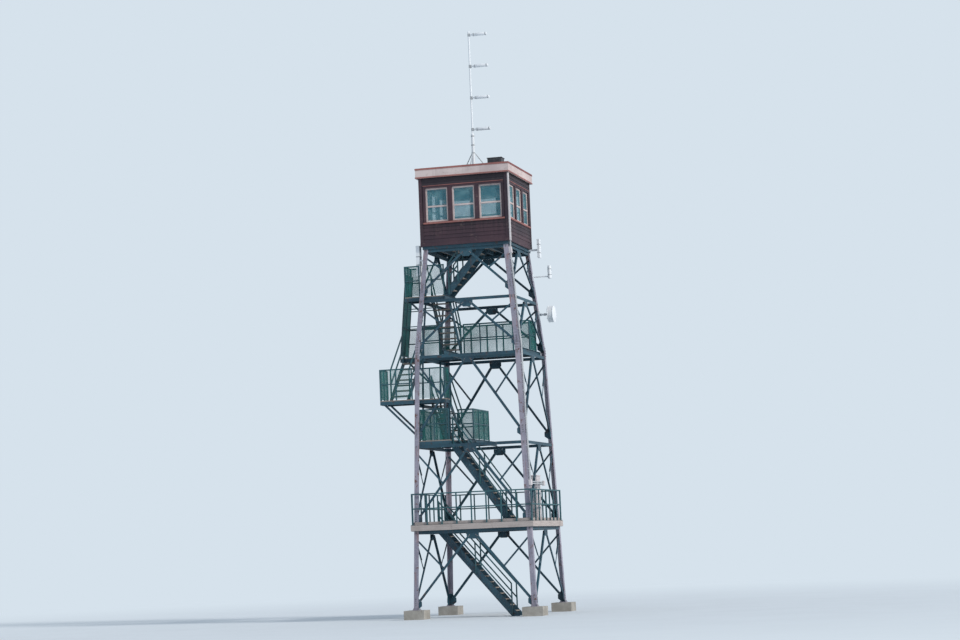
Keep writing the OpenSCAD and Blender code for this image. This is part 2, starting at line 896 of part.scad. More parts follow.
footings();
leg(3);  // leg_front_left
leg(0);  // leg_front_right
leg(2);  // leg_back_left
leg(1);  // leg_back_right
girts(0);  // girts_front
girts(1);  // girts_right
girts(2);  // girts_back
girts(3);  // girts_left
braces(0);  // braces_front
braces(1);  // braces_right
braces(2);  // braces_back
braces(3);  // braces_left
deck_frame();
deck_floor();
deck_railing();
first_landing();
half_landing();
second_landing();
third_landing();
landing_beams();
landing_posts();
landing_railings();
landing_screen();
stair_stringers();
stair_handrails();
treads_ground();
treads_deck();
treads_first();
treads_half();
treads_second();
treads_third();
cab_floor_frame();
cab_floor();
wall_front();
wall_right();
wall_back();
wall_left();
window_frames();
window_glass();
ceiling();
roof_joists();
roof();
fascia();
roof_box();
mast();
mast_stays();
side_arms();
dish();
leg_antenna();
panel_antennas();
cabinet();
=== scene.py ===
import math
import random
from functools import reduce
from itertools import pairwise, product

import bmesh
import bpy
from mathutils import Matrix, Vector


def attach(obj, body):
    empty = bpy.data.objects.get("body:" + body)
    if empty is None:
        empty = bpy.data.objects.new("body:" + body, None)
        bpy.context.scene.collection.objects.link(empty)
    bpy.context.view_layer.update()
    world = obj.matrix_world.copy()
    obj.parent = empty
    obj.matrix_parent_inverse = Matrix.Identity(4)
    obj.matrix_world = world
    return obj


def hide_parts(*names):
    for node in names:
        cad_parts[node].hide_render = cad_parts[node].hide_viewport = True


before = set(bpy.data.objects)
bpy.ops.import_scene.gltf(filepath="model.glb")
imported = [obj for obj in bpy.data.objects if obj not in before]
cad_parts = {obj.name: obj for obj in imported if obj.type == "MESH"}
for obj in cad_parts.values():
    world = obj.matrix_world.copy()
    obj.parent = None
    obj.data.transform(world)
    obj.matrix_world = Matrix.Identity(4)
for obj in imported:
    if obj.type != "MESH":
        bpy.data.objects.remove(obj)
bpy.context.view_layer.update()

# Looks of a fire lookout tower: a braced steel frame with a deck, stairs, landings and a cab.
# Metres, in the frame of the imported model. The front faces -Y. Work on the sides is counted
# round the tower: 0 is the front, 1 the right, 2 the back and 3 the left.
random.seed(4805)

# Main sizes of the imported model
SHIFT_X = 0.3425
DECK_Z, FIRST_Z, HALF_Z, SECOND_Z, THIRD_Z = 3.1, 5.9, 7.3, 8.9, 10.78
FRAME_TOP = 12.35
FLOOR_Z = 12.55
CEILING_Z = 14.75
ROOF_Z, ROOF_TOP = 15.0, 15.06
MAST_TOP = 20.0
FOOTING_H = 0.3
LEG_W, LEG_T = 0.16, 0.014
GIRT_W = 0.1
CAB_HALF, ROOF_HALF = 1.525, 1.6
HATCH_X, HATCH_Y = (-0.2, 0.62), (-1.36, -0.64)
WALL_T = 0.1
WINDOW_W, WINDOW_H, WINDOW_STEP = 0.78, 1.15, 0.935
SILL_Z = FLOOR_Z + 0.72
HEAD_Z = SILL_Z + WINDOW_H
RAIL_H, RAIL_T = 1.05, 0.04

# Stages of the frame: foot, top, and the half width over the legs at each
STAGES = [(FOOTING_H, SECOND_Z, 2.095, 1.81), (SECOND_Z, FRAME_TOP, 1.81, 1.47)]

# Bevels, and the angle from which an edge of a smooth surface stays sharp
BEVEL_FINE, BEVEL, BEVEL_WOOD = 0.002, 0.003, 0.004
SHARP_ANGLE = math.radians(40)

AXIS = Matrix.Translation((SHIFT_X, 0, 0))


def spread(low, high, count):
    """Even places from low to high, with both ends among them."""
    return [low + (high - low) * i / (count - 1) for i in range(count)]


def half_at(z):
    """Half width of the frame over the legs at a height."""
    low, high, wide, narrow = STAGES[stage_of(z)]
    return wide - (z - low) * (wide - narrow) / (high - low)


def stage_of(z):
    """The stage of the frame that a height is in."""
    return 0 if z < SECOND_Z else 1


def tilt(stage):
    """How far the faces of a stage lean in, in radians."""
    low, high, wide, narrow = STAGES[stage]
    return math.atan((wide - narrow) / (high - low))


def along(stage, z):
    """Distance up the slope of a face from the foot of its stage."""
    return (z - STAGES[stage][0]) / math.cos(tilt(stage))


def edge_at(stage, v):
    """Half width of a face at a distance up its slope."""
    return STAGES[stage][2] - v * math.sin(tilt(stage))


def turn(degrees, axis="Z"):
    return Matrix.Rotation(math.radians(degrees), 4, axis)


def move(x, y, z):
    return Matrix.Translation((x, y, z))


def face_matrix(side, stage):
    """Flat work on a tapered face: x across, y up the slope, z out of the tower."""
    low, _, wide, _ = STAGES[stage]
    lean = Matrix.Rotation(math.pi / 2 - tilt(stage), 4, "X")
    return side_matrix(side) @ move(0, -wide, low) @ lean


def side_matrix(side):
    """Upright work on a side of the cab or deck: x across, y into the tower."""
    return AXIS @ turn(90 * side)


def face_at(side, z, stage):
    """A face's matrix, the distance up its slope at a height, and half its width there."""
    v = along(stage, z)
    return face_matrix(side, stage), v, edge_at(stage, v)


SIDES = [(side, side_matrix(side)) for side in range(4)]


def ring_faces(n):
    """The faces between two rings of n points."""
    return [(i, (i + 1) % n, n + (i + 1) % n, n + i) for i in range(n)]


BOX_FACES = [
    (0, 1, 3, 2), (4, 6, 7, 5), (0, 4, 5, 1), (2, 3, 7, 6), (0, 2, 6, 4), (1, 5, 7, 3)]


class Shape:
    """Collects boxes, drawn out and turned forms, and makes one mesh of them."""

    def __init__(self):
        self.points = []
        self.faces = []

    def add(self, points, faces, place):
        start = len(self.points)
        self.points += [place @ Vector(p) for p in points]
        self.faces += [[start + i for i in face] for face in faces]

    def box(self, x, y, z, place=AXIS):
        self.add(product(x, y, z), BOX_FACES, place)

    def prism(self, outline, z, place):
        """A flat outline, counter-clockwise seen from above, drawn out between two heights."""
        n = len(outline)
        points = [(x, y, height) for height in z for x, y in outline]
        self.add(points, [range(n - 1, -1, -1), range(n, 2 * n)] + ring_faces(n), place)

    def strip(self, outline, x, y, place=AXIS):
        """An outline of (distance, height) pairs in front of a face at y, drawn out along x."""
        n = len(outline)
        points = [(end, y - out, height) for end in x for out, height in outline]
        self.add(points, [range(n), range(2 * n - 1, n - 1, -1)] + ring_faces(n), place)

    def turned(self, profile, sides, place=AXIS):
        """A solid of revolution round z from a profile of (radius, height) pairs."""
        points, rows = [], []
        for radius, height in profile:
            count = sides if radius > 0 else 1
            rows.append(range(len(points), len(points) + count))
            for k in range(count):
                a = 2 * math.pi * k / sides
                points.append((radius * math.cos(a), radius * math.sin(a), height))
        faces = []
        for (low, high), k in product(pairwise(rows), range(sides)):
            corners = ((low, k), (low, k + 1), (high, k + 1), (high, k))
            faces.append(list(dict.fromkeys(row[i % len(row)] for row, i in corners)))
        faces += [rows[0][::-1], rows[-1]]
        self.add(points, [face for face in faces if len(face) > 2], place)

    def band(self, radius, proud, low, wide, sides, place, edge=0.004):
        """A clamp or rim round a pipe along z, with its edges taken off."""
        outer, high = radius + proud, low + wide
        profile = [(radius, low), (outer, low + edge), (outer, high - edge), (radius, high)]
        self.turned(profile, sides, place)

    def rod(self, p0, p1, radius, sides, place):
        """A round bar from one point to another."""
        run = Vector(p1) - Vector(p0)
        aim = run.to_track_quat("Z", "Y").to_matrix().to_4x4()
        self.turned([(radius, 0), (radius, run.length)], sides, place @ (move(*p0) @ aim))

    def built(self, name, material):
        """The object of the forms, with its faces turned outwards."""
        mesh = bpy.data.meshes.new(name)
        mesh.from_pydata(self.points, [], self.faces)
        work = bmesh.new()
        work.from_mesh(mesh)
        bmesh.ops.recalc_face_normals(work, faces=work.faces)
        work.to_mesh(mesh)
        work.free()
        mesh.materials.append(material)
        obj = bpy.data.objects.new(name, mesh)
        bpy.context.scene.collection.objects.link(obj)
        return obj

    def make(self, name, slot, material, bevel=0, replaces=(), smooth=False):
        """Builds the object, rides it on the tower and gives it its finish."""
        obj = self.built(name, material)
        if smooth:
            obj.data.shade_smooth()
            obj.data.set_sharp_from_angle(angle=SHARP_ANGLE)
        if bevel:
            rounding = obj.modifiers.new("edges", "BEVEL")
            rounding.width = bevel
            rounding.segments = 1
            rounding.limit_method = "ANGLE"
        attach(obj, "root")
        if replaces:
            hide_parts(*replaces)


def linear(srgb):
    """A colour written in sRGB from 0 to 255, as the linear colour that sockets take."""
    parts = [c / 255 for c in srgb]
    values = [c / 12.92 if c <= 0.04045 else ((c + 0.055) / 1.055) ** 2.4 for c in parts]
    return (*values, 1)


class Nodes:
    """Builds a node tree. Each value is a socket to link, or what a socket is set to."""

    def __init__(self, tree):
        self.tree = tree

    def feed(self, value, socket):
        if isinstance(value, bpy.types.NodeSocket):
            self.tree.links.new(value, socket)
        else:
            socket.default_value = value

    def node(self, kind, inputs=None, **settings):
        """Adds a node with its settings and its inputs, by their names or numbers."""
        made = self.tree.nodes.new(kind)
        for key, value in settings.items():
            setattr(made, key, value)
        for key, value in (inputs or {}).items():
            self.feed(value, made.inputs[key])
        return made

    def maths(self, operation, a, b):
        return self.node("ShaderNodeMath", {0: a, 1: b}, operation=operation).outputs[0]

    def most(self, values):
        """The largest of several values."""
        return reduce(lambda a, b: self.maths("MAXIMUM", a, b), values)

    def show(self, amount, a, b, output):
        """Sends a mix of two shader nodes to the output."""
        made = self.node("ShaderNodeMixShader", {0: amount, 1: a.outputs[0], 2: b.outputs[0]})
        self.feed(made.outputs[0], self.tree.nodes[output].inputs["Surface"])


class Paint(Nodes):
    """A material, whose pattern lies in the object's own coordinates."""

    def __init__(self, name):
        self.material = bpy.data.materials.new(name)
        self.material.use_nodes = True
        super().__init__(self.material.node_tree)
        self.shader = self.tree.nodes["Principled BSDF"]
        self.coords = self.node("ShaderNodeTexCoord").outputs["Object"]

    def noise(self, scale, detail=4, rough=0.6, stretch=(1, 1, 1)):
        mapping = self.node("ShaderNodeMapping", {"Vector": self.coords, "Scale": stretch})
        inputs = {"Vector": mapping.outputs[0], "Scale": scale, "Detail": detail,
                  "Roughness": rough}
        return self.node("ShaderNodeTexNoise", inputs).outputs["Fac"]

    def ramp(self, value, low, high):
        """Turns a value into 0 below low and 1 above high, with a soft step between."""
        inputs = {"Value": value, "From Min": low, "From Max": high}
        made = self.node("ShaderNodeMapRange", inputs, interpolation_type="SMOOTHSTEP")
        return made.outputs["Result"]

    def times(self, a, b):
        return self.maths("MULTIPLY", a, b)

    def mix(self, amount, a, b):
        """Mixes two colours. Each is a socket or an sRGB triple."""
        a, b = (linear(c) if isinstance(c, tuple) else c for c in (a, b))
        return self.node("ShaderNodeMix", {0: amount, 6: a, 7: b}, data_type="RGBA").outputs[2]

    def each_island(self):
        """A value of its own for each separate form in a mesh."""
        return self.node("ShaderNodeNewGeometry").outputs["Random Per Island"]

    def height(self, low, high):
        """0 below one height and 1 above another, in metres."""
        parts = self.node("ShaderNodeSeparateXYZ", {0: self.coords})
        return self.ramp(parts.outputs["Z"], low, high)

    def below(self, tops, length):
        """1 just below each of some heights, fading to 0 over a length further down."""
        bands = []
        for top in tops:
            under = self.maths("SUBTRACT", 1, self.height(top, top + 0.01))
            bands.append(self.times(self.height(top - length, top), under))
        return self.most(bands)

    def bump(self, height, strength, distance):
        inputs = {"Height": height, "Strength": strength, "Distance": distance}
        made = self.node("ShaderNodeBump", inputs)
        self.feed(made.outputs["Normal"], self.shader.inputs["Normal"])

    def finish(self, colour, rough):
        """Sets the colour and the roughness: a number, or a value and its two ends."""
        if isinstance(rough, tuple):
            inputs = dict(zip(("Value", "To Min", "To Max"), rough))
            rough = self.node("ShaderNodeMapRange", inputs).outputs["Result"]
        self.feed(colour, self.shader.inputs["Base Color"])
        self.feed(rough, self.shader.inputs["Roughness"])
        return self.material


JOINTS = (DECK_Z, 5.75, 8.78, 10.63, FRAME_TOP)  # heights of the joints that rust runs from
FLAT = (128, 128, 128)  # the bump height of sound paint


def painted_steel(name, base, dark, pale, rust, rust_amount, joints=()):
    """Weathered paint on steel: cloudy patches, chalking, chips, and rust below the joints."""
    p = Paint(name)
    cloud = p.noise(0.9, 5)
    fine = p.noise(16, 6)
    streak = p.noise(13, 5, 0.6, (1, 1, 0.07))
    chips = p.noise(5.5, 9, 0.72)
    colour = p.mix(p.ramp(cloud, 0.4, 0.62), base, dark)
    colour = p.mix(p.times(p.ramp(fine, 0.5, 0.7), 0.55), colour, pale)
    colour = p.mix(p.times(p.each_island(), 0.3), colour, pale)
    stain = p.times(p.ramp(streak, 0.52, 0.7), p.ramp(p.noise(1.7, 4), 0.42, 0.58))
    colour = p.mix(p.times(stain, rust_amount), colour, rust)
    if joints:
        runs = p.times(p.ramp(streak, 0.42, 0.64), p.below(joints, 0.6))
        runs = p.times(runs, p.ramp(p.noise(2.1, 3), 0.4, 0.62))
        colour = p.mix(p.times(runs, 0.85), colour, rust)
    chipped = p.ramp(chips, 0.585, 0.615)
    worn = tuple(round(c * 0.72) for c in rust)
    colour = p.mix(p.times(chipped, min(1.0, rust_amount * 1.5)), colour, worn)
    p.bump(p.mix(chipped, FLAT, (90, 90, 90)), 0.35, 0.003)
    return p.finish(colour, (fine, 0.42, 0.74))


def grey_wood(name, base, dark, pale, grain_axis):
    """Weathered boards with grain along one axis and a tone of their own for each board."""
    stretch = [18.0, 18.0, 18.0]
    stretch["xyz".index(grain_axis)] = 0.7
    p = Paint(name)
    grain = p.noise(2.2, 7, 0.62, stretch)
    blotch = p.noise(1.6, 4)
    island = p.each_island()
    colour = p.mix(p.ramp(grain, 0.34, 0.68), dark, base)
    colour = p.mix(p.times(island, 0.45), colour, pale)
    colour = p.mix(p.times(p.ramp(blotch, 0.5, 0.72), 0.4), colour, dark)
    p.bump(grain, 0.5, 0.003)
    return p.finish(colour, (grain, 0.72, 0.9))


def rough_concrete(name):
    p = Paint(name)
    cloud = p.noise(2.4, 6)
    grit = p.noise(60, 5)
    run = p.noise(7, 5, 0.6, (1, 1, 0.2))
    colour = p.mix(p.ramp(cloud, 0.35, 0.68), (150, 146, 138), (176, 172, 164))
    colour = p.mix(p.times(p.ramp(grit, 0.5, 0.66), 0.5), colour, (126, 122, 114))
    colour = p.mix(p.times(p.ramp(run, 0.55, 0.75), 0.45), colour, (112, 98, 84))
    p.bump(grit, 0.5, 0.004)
    return p.finish(colour, (grit, 0.8, 0.95))


def brush_paint(name, base, dark, pale, wear, bare=(126, 112, 100), sills=()):
    """House paint on boards: a tone for each board, rain streaks, dirt runs and peeling."""
    p = Paint(name)
    cloud = p.noise(1.1, 5)
    streak = p.noise(14, 5, 0.6, (1, 1, 0.06))
    chips = p.noise(13, 9, 0.74, (0.45, 0.45, 1.6))
    colour = p.mix(p.ramp(cloud, 0.36, 0.64), base, dark)
    colour = p.mix(p.times(p.each_island(), 0.4), colour, pale)
    colour = p.mix(p.times(p.ramp(streak, 0.5, 0.72), 0.5), colour, dark)
    if sills:
        runs = p.times(p.ramp(streak, 0.38, 0.6), p.below(sills, 0.55))
        colour = p.mix(p.times(runs, 0.55), colour, tuple(round(c * 0.55) for c in dark))
    peeled = p.times(p.ramp(chips, 0.575, 0.6), p.ramp(p.noise(1.9, 4), 0.44, 0.6))
    colour = p.mix(p.times(peeled, wear), colour, bare)
    p.bump(p.mix(peeled, FLAT, (92, 92, 92)), 0.4, 0.002)
    return p.finish(colour, (cloud, 0.55, 0.8))


def smooth_cover(name, base, dirt):
    """Moulded white covers with a little grey rain dirt."""
    p = Paint(name)
    streak = p.noise(8, 5, 0.6, (1, 1, 0.15))
    fine = p.noise(40, 4)
    colour = p.mix(p.times(p.ramp(streak, 0.5, 0.78), 0.45), base, dirt)
    colour = p.mix(p.times(p.ramp(fine, 0.55, 0.75), 0.18), colour, dirt)
    p.bump(fine, 0.08, 0.001)
    return p.finish(colour, (streak, 0.38, 0.58))


def window_pane(name):
    """Clear glass with a slight green tint and paler patches. The blue-green colour and the
    patches are partly a painted reflection of the sky, and the patches also vary the roughness
    like dust.
    """
    p = Paint(name)
    sky_patches_and_dust = p.noise(3.2, 5)
    # Blue-green with paler patches: partly the glass's own tint, partly a painted reflection of
    # the sky
    colour = p.mix(p.ramp(sky_patches_and_dust, 0.4, 0.7), (84, 150, 166), (128, 182, 192))
    p.shader.inputs["Alpha"].default_value = 0.34
    p.shader.inputs["IOR"].default_value = 1.5
    return p.finish(colour, (sky_patches_and_dust, 0.04, 0.16))


frame_paint = painted_steel(
    "frame_paint", (148, 144, 158), (122, 122, 138), (178, 172, 184), (140, 94, 82), 0.6, JOINTS)
# The braces, girts, stairs and the frames under the deck and the cab: the same steel as the
# legs, darkened to the teal it shows in shade, as painted shade.
shade_darkened_steel_paint = painted_steel(
    "shade_darkened_steel_paint", (28, 68, 84), (18, 50, 66), (58, 98, 112), (88, 64, 58), 0.5)
rail_paint = painted_steel(
    "rail_paint", (34, 84, 92), (24, 66, 76), (66, 110, 116), (86, 64, 54), 0.4)
wire_paint = painted_steel(
    "wire_paint", (30, 112, 110), (24, 92, 94), (62, 140, 134), (84, 76, 60), 0.25)
galvanised = painted_steel(
    "galvanised", (172, 177, 181), (146, 152, 157), (196, 200, 202), (132, 104, 88), 0.3)
bolt_paint = painted_steel(
    "bolt_paint", (112, 116, 122), (88, 92, 98), (150, 150, 150), (110, 72, 54), 0.8)
concrete_cast = rough_concrete("concrete_cast")
boards_x, boards_y = (
    grey_wood("boards_" + axis, (138, 128, 120), (96, 88, 82), (168, 160, 150), axis)
    for axis in "xy")
edge_boards_x, edge_boards_y = (
    grey_wood("edge_boards_" + axis, (176, 166, 162), (134, 124, 120), (200, 190, 184), axis)
    for axis in "xy")
wall_boards = brush_paint(
    "wall_boards", (57, 36, 47), (39, 27, 40), (82, 55, 62), 0.5, (132, 116, 106),
    (SILL_Z - 0.06,))
# The boards over the windows are darker than the walls below: painted shade of the eaves.
frieze_boards_painted_shade = brush_paint("frieze_boards_painted_shade", (42, 34, 44), (30, 26, 36), (60, 48, 54), 0.3)
red_trim = brush_paint(
    "red_trim", (146, 82, 78), (114, 62, 62), (178, 128, 118), 0.6, (168, 150, 140))
lining_boards = brush_paint(
    "lining_boards", (176, 166, 152), (150, 140, 128), (196, 188, 176), 0.2)
trim_boards = brush_paint(
    "trim_boards", (208, 190, 186), (176, 158, 156), (224, 210, 206), 0.6, (132, 118, 110))
window_glass = window_pane("window_glass")
roof_sheet = painted_steel(
    "roof_sheet", (122, 122, 124), (98, 98, 102), (150, 150, 150), (112, 84, 70), 0.5)
cover_white = smooth_cover("cover_white", (226, 230, 234), (168, 172, 174))
gear_paint = painted_steel(
    "gear_paint", (58, 60, 66), (42, 44, 50), (86, 88, 92), (96, 70, 58), 0.3)
cabinet_paint = brush_paint(
    "cabinet_paint", (206, 200, 202), (180, 174, 176), (222, 218, 218), 0.3)

# The CAD nodes of each paint, by their names or by the first part of their names
NODE_PAINTS = {name: paint for paint, names in [
    (concrete_cast, "footings"),
    (frame_paint, "leg_"),
    # The bracing and the frames under the deck and the cab take the steel darkened as painted
    # shade
    (shade_darkened_steel_paint, "girts_ braces_ deck_frame landing_beams landing_posts stair_stringers"),
    (shade_darkened_steel_paint, "cab_floor_frame"),
    (rail_paint, "deck_railing landing_railings landing_screen stair_handrails"),
    (boards_x, "deck_floor first_landing half_landing second_landing third_landing"),
    (boards_x, "treads_first treads_half treads_second cab_floor"),
    (boards_y, "treads_ground treads_deck treads_third roof_joists"),
    (wall_boards, "wall_"),
    (trim_boards, "window_frames fascia"),
    (window_glass, "window_glass"),
    (lining_boards, "ceiling"),
    (roof_sheet, "roof"),
    (gear_paint, "roof_box"),
    (cover_white, "mast side_arms dish leg_antenna panel_antennas"),
    (galvanised, "mast_stays"),
    (cabinet_paint, "cabinet"),
] for name in names.split()}


def paint_nodes():
    for name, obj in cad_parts.items():
        key = name if name in NODE_PAINTS else name[: name.index("_") + 1]
        obj.data.materials.clear()
        obj.data.materials.append(NODE_PAINTS[key])


SMALL_BOLT = (0.008, 0.008)  # radius of the head, and its height over the surface


def bolt(s, x, y, z, place, radius=0.016, height=0.012):
    """A hexagon head on a washer, standing along z."""
    washer_t = 0.003
    at = place @ move(x, y, z)
    s.turned([(radius * 1.25, 0), (radius * 1.25, washer_t)], 10, at)
    s.turned([(radius, washer_t), (radius, height), (radius * 0.8, height + 0.002)], 6, at)


# Boards
BOARD_W, BOARD_GAP = 0.148, 0.007
UNEVEN = 0.002  # the most that a board lies higher than its neighbours
SLIGHT = 0.02  # overlaps and offcuts shorter than this are passed over
DECK_T, LANDING_T, FLOOR_T = 0.06, 0.034, 0.07
DECK_IN, DECK_NOTCH = 2.0058, 1.821
DECK_OPEN_X, DECK_OPEN_Y = (-1.3, 0.45), (-1.68, -0.92)


def stretches(low, high, cut):
    """What is left of a stretch when a part of it is cut away."""
    if cut is None or cut[1] <= low or cut[0] >= high:
        return [(low, high)]
    left = [(low, cut[0]), (cut[1], high)]
    return [(a, b) for a, b in left if b - a > SLIGHT]


def board_rows(low, high):
    """Even rows of boards between two edges, as (start, end) pairs."""
    count = max(1, round((high - low + BOARD_GAP) / (BOARD_W + BOARD_GAP)))
    starts = spread(low, high + BOARD_GAP, count + 1)
    return [(a, b - BOARD_GAP) for a, b in pairwise(starts)]


def cut_in(row, open_x, open_y):
    """What an opening cuts out of a row of boards, or None if it doesn't reach the row."""
    return open_x if row[1] > open_y[0] + SLIGHT and row[0] < open_y[1] - SLIGHT else None


def floor_board(s, x, y, top, thick):
    """A board that fills the space of a slab, apart from its own small drop."""
    low = top - thick + random.uniform(0, UNEVEN)
    s.box(x, y, (low, low + thick - UNEVEN))


def deck_boards():
    s = Shape()
    joints, gap = (-0.72, 0.49, 1.1), 0.002
    for i, row in enumerate(board_rows(-DECK_IN, DECK_IN)):
        reach = DECK_NOTCH if max(abs(row[0]), abs(row[1])) > DECK_NOTCH else DECK_IN
        joint = joints[i % len(joints)]
        for a, b in stretches(-reach, reach, cut_in(row, DECK_OPEN_X, DECK_OPEN_Y)):
            for x in stretches(a, b, (joint - gap, joint + gap)):
                floor_board(s, x, row, DECK_Z, DECK_T)
    s.make("deck_boards", "deck_boards", boards_x, BEVEL_WOOD, ["deck_floor"])


def deck_edges():
    """Pale boards on the outside of the edge channels, toe boards and feet of the posts."""
    along_x, along_y, feet, bolts = Shape(), Shape(), Shape(), Shape()
    channel, board_t, gap = 2.0788, 0.02, 0.002
    toe, toe_t, toe_end = 2.0045, 0.018, 0.03
    post = channel - 0.035
    foot_x, foot_y, foot_t = 0.06, 0.032, 0.008
    for side, place in SIDES:
        pale = along_y if side % 2 else along_x
        reach = channel - gap if side % 2 else channel + board_t
        for a, b in pairwise(spread(-reach, reach, 4)):
            x, y = (a + gap, b - gap), (-channel - board_t, -channel)
            pale.box(x, y, (DECK_Z - 0.19, DECK_Z - 0.004), place)
        x, y = (toe_end - toe, toe - toe_end), (-toe - toe_t, -toe)
        pale.box(x, y, (DECK_Z + 0.002, DECK_Z + 0.1), place)
        span = post - RAIL_T / 2 + (-0.03 if side % 2 else 0.02)
        for x in spread(-span, span, 9):
            base = (x - foot_x, x + foot_x), (-post - foot_y, foot_y - post)
            feet.box(*base, (DECK_Z, DECK_Z + foot_t), place)
            for dx in (-0.042, 0.042):
                bolt(bolts, x + dx, -post, DECK_Z + foot_t, place, 0.009, 0.008)
    along_x.make("deck_edge_boards_front_back", "deck_boards", edge_boards_x, BEVEL)
    along_y.make("deck_edge_boards_sides", "deck_boards", edge_boards_y, BEVEL)
    feet.make("deck_post_feet", "rail_steel", rail_paint)
    bolts.make("deck_post_bolts", "rail_steel", bolt_paint)


# Edges of the landings, and the boards' areas as (left, right, front, back)
OUTER_X = -3.05
FIRST_IN, FIRST_RIGHT, FIRST_BACK = 1.873, -0.12, 1.15
HALF_RIGHT, HALF_FRONT, HALF_STEP, HALF_BACK = -0.85, -1.95, -1.69, -1.12
SECOND_RIGHT, SECOND_FRONT, SECOND_BACK = 1.597, 0.5, 1.42
THIRD_LEFT, THIRD_RIGHT, THIRD_FRONT, THIRD_BACK = -2.2, -0.8, -1.46, -0.7
LANDINGS = [
    ("first_landing", FIRST_Z, [
        (-FIRST_IN, -0.7, -FIRST_IN, -0.923), (-FIRST_IN, FIRST_RIGHT, -0.92, FIRST_BACK)]),
    ("half_landing", HALF_Z, [
        (OUTER_X, -1.9, HALF_FRONT, HALF_BACK), (-1.91, HALF_RIGHT, HALF_STEP, HALF_BACK)]),
    ("second_landing", SECOND_Z, [
        (OUTER_X, -0.85, SECOND_FRONT, SECOND_BACK),
        (-0.767, SECOND_RIGHT, SECOND_FRONT, SECOND_BACK)]),
    ("third_landing", THIRD_Z, [(THIRD_LEFT, THIRD_RIGHT, THIRD_FRONT, THIRD_BACK)]),
]


def channel_frame(s, area, z):
    """The rim of a landing from steel channels, open side in, with joists across."""
    x0, x1, y0, y1 = area
    low, top = z - 0.15, z - LANDING_T
    flange, thick = 0.05, 0.008
    levels = ((low, low + thick), (top - thick, top))
    for y, inward in ((y0, 1), (y1, -1)):
        inner = y + inward * thick
        s.box((x0, x1), sorted((y, inner)), (low, top))
        for level in levels:
            s.box((x0, x1), sorted((inner, y + inward * flange)), level)
    for x, inward in ((x0, 1), (x1, -1)):
        inner = x + inward * thick
        s.box(sorted((x, inner)), (y0 + flange, y1 - flange), (low, top))
        for level in levels:
            s.box(sorted((inner, x + inward * flange)), (y0 + flange, y1 - flange), level)
    joist_step, joist_half, joist_h = 0.55, 0.025, 0.08
    count = max(1, round((x1 - x0) / joist_step) - 1)
    for x in spread(x0, x1, count + 2)[1:-1]:
        width = (x - joist_half, x + joist_half)
        s.box(width, (y0 + thick, y1 - thick), (top - joist_h, top))


def landings():
    for name, z, areas in LANDINGS:
        rim, top = Shape(), Shape()
        for area in areas:
            channel_frame(rim, area, z)
            for row in board_rows(area[2], area[3]):
                height = z - UNEVEN + random.uniform(0, UNEVEN)
                top.box(area[:2], row, (z - LANDING_T, height))
        rim.make(name + "_channels", "brace_steel", shade_darkened_steel_paint, BEVEL_FINE, [name])
        top.make(name + "_boards", "deck_boards", boards_x, BEVEL)


# Stairs: name, foot, heading in degrees, rise, run, number of risers, wood
FLIGHTS = [
    ("treads_ground", (1.2, -1.3, 0.0), 180, 3.1, 2.5, 16, boards_y),
    ("treads_deck", (1.15, -1.3, DECK_Z), 180, 2.8, 1.85, 14, boards_y),
    ("treads_first", (-1.16, 0.25, FIRST_Z), -90, 1.4, 1.37, 7, boards_x),
    ("treads_half", (-2.6, -1.12, HALF_Z), 90, 1.6, 1.62, 8, boards_x),
    ("treads_second", (-1.16, 0.5, SECOND_Z), -90, 1.88, 1.2, 10, boards_x),
    ("treads_third", (-0.72, -1.015, THIRD_Z), 0, 1.77, 1.34, 9, boards_y),
]
STAIR_HALF = 0.298
TREAD_T, NOSING = 0.04, 0.04
STRINGER_T = 0.012


def stair_treads():
    """Two planks to a tread, on angle cleats bolted to the stringers."""
    cleats, bolts = Shape(), Shape()
    cleat_w, cleat_t, cleat_end = 0.04, 0.006, 0.015
    for name, foot, heading, rise, run, risers, wood in FLIGHTS:
        s = Shape()
        place = AXIS @ move(*foot) @ turn(heading)
        riser, going = rise / risers, run / (risers - 1)
        for k in range(1, risers):
            last_gap = 0.002 if k == risers - 1 else 0
            x0, x1 = (k - 1) * going - NOSING, k * going - last_gap
            middle, top = (x0 + x1) / 2, k * riser
            under = top - TREAD_T
            for x in ((x0, middle - 0.004), (middle + 0.004, x1)):
                drop = random.uniform(0, 0.003)
                s.box(x, (-STAIR_HALF, STAIR_HALF), (under, top - drop), place)
            long = (x0 + cleat_end, x1 - cleat_end)
            for side in (-1, 1):
                flat = sorted((side * STAIR_HALF, side * (STAIR_HALF - cleat_w)))
                cleats.box(long, flat, (under - cleat_t, under), place)
                upright = sorted((side * STAIR_HALF, side * (STAIR_HALF - cleat_t)))
                cleats.box(long, upright, (under - cleat_t - cleat_w, under - cleat_t), place)
                outside = move(0, side * (STAIR_HALF + STRINGER_T), under - 0.026)
                outward = place @ outside @ turn(-90 * side, "X")
                for x in (middle - 0.05, middle + 0.05):
                    bolt(bolts, x, 0, 0, outward, *SMALL_BOLT)
        s.make(name + "_planks", "deck_boards", wood, BEVEL_WOOD, [name])
    cleats.make("tread_cleats", "brace_steel", shade_darkened_steel_paint)
    bolts.make("stringer_bolts", "brace_steel", bolt_paint)


# Wire mesh in the railings
MESH_PITCH, WIRE = 0.038, 0.007
SCREEN_PITCH, SCREEN_WIRE = 0.028, 0.009
SCREEN_W, SCREEN_H = 0.87, 2.9


def mesh_grid(s, length, z0, z1, place, pitch=MESH_PITCH, wire=WIRE):
    """Square wire mesh: upright wires on one side of the level ones, x along, z up."""
    columns = max(2, round(length / pitch))
    rows = max(2, round((z1 - z0) / pitch))
    h = wire / 2
    for x in spread(h, length - h, columns + 1):
        s.box((x - h, x + h), (0, wire), (z0, z1), place)
    for z in spread(z0 + h, z1 - h, rows + 1):
        s.box((0, length), (-wire, 0), (z - h, z + h), place)


def across(y, x0, x1):
    """A run of mesh from left to right: where it starts, its length and its heading."""
    return (x0, y, x1 - x0, 0)


def deep(x, y0, y1):
    """A run of mesh from front to back."""
    return (x, y0, y1 - y0, 90)


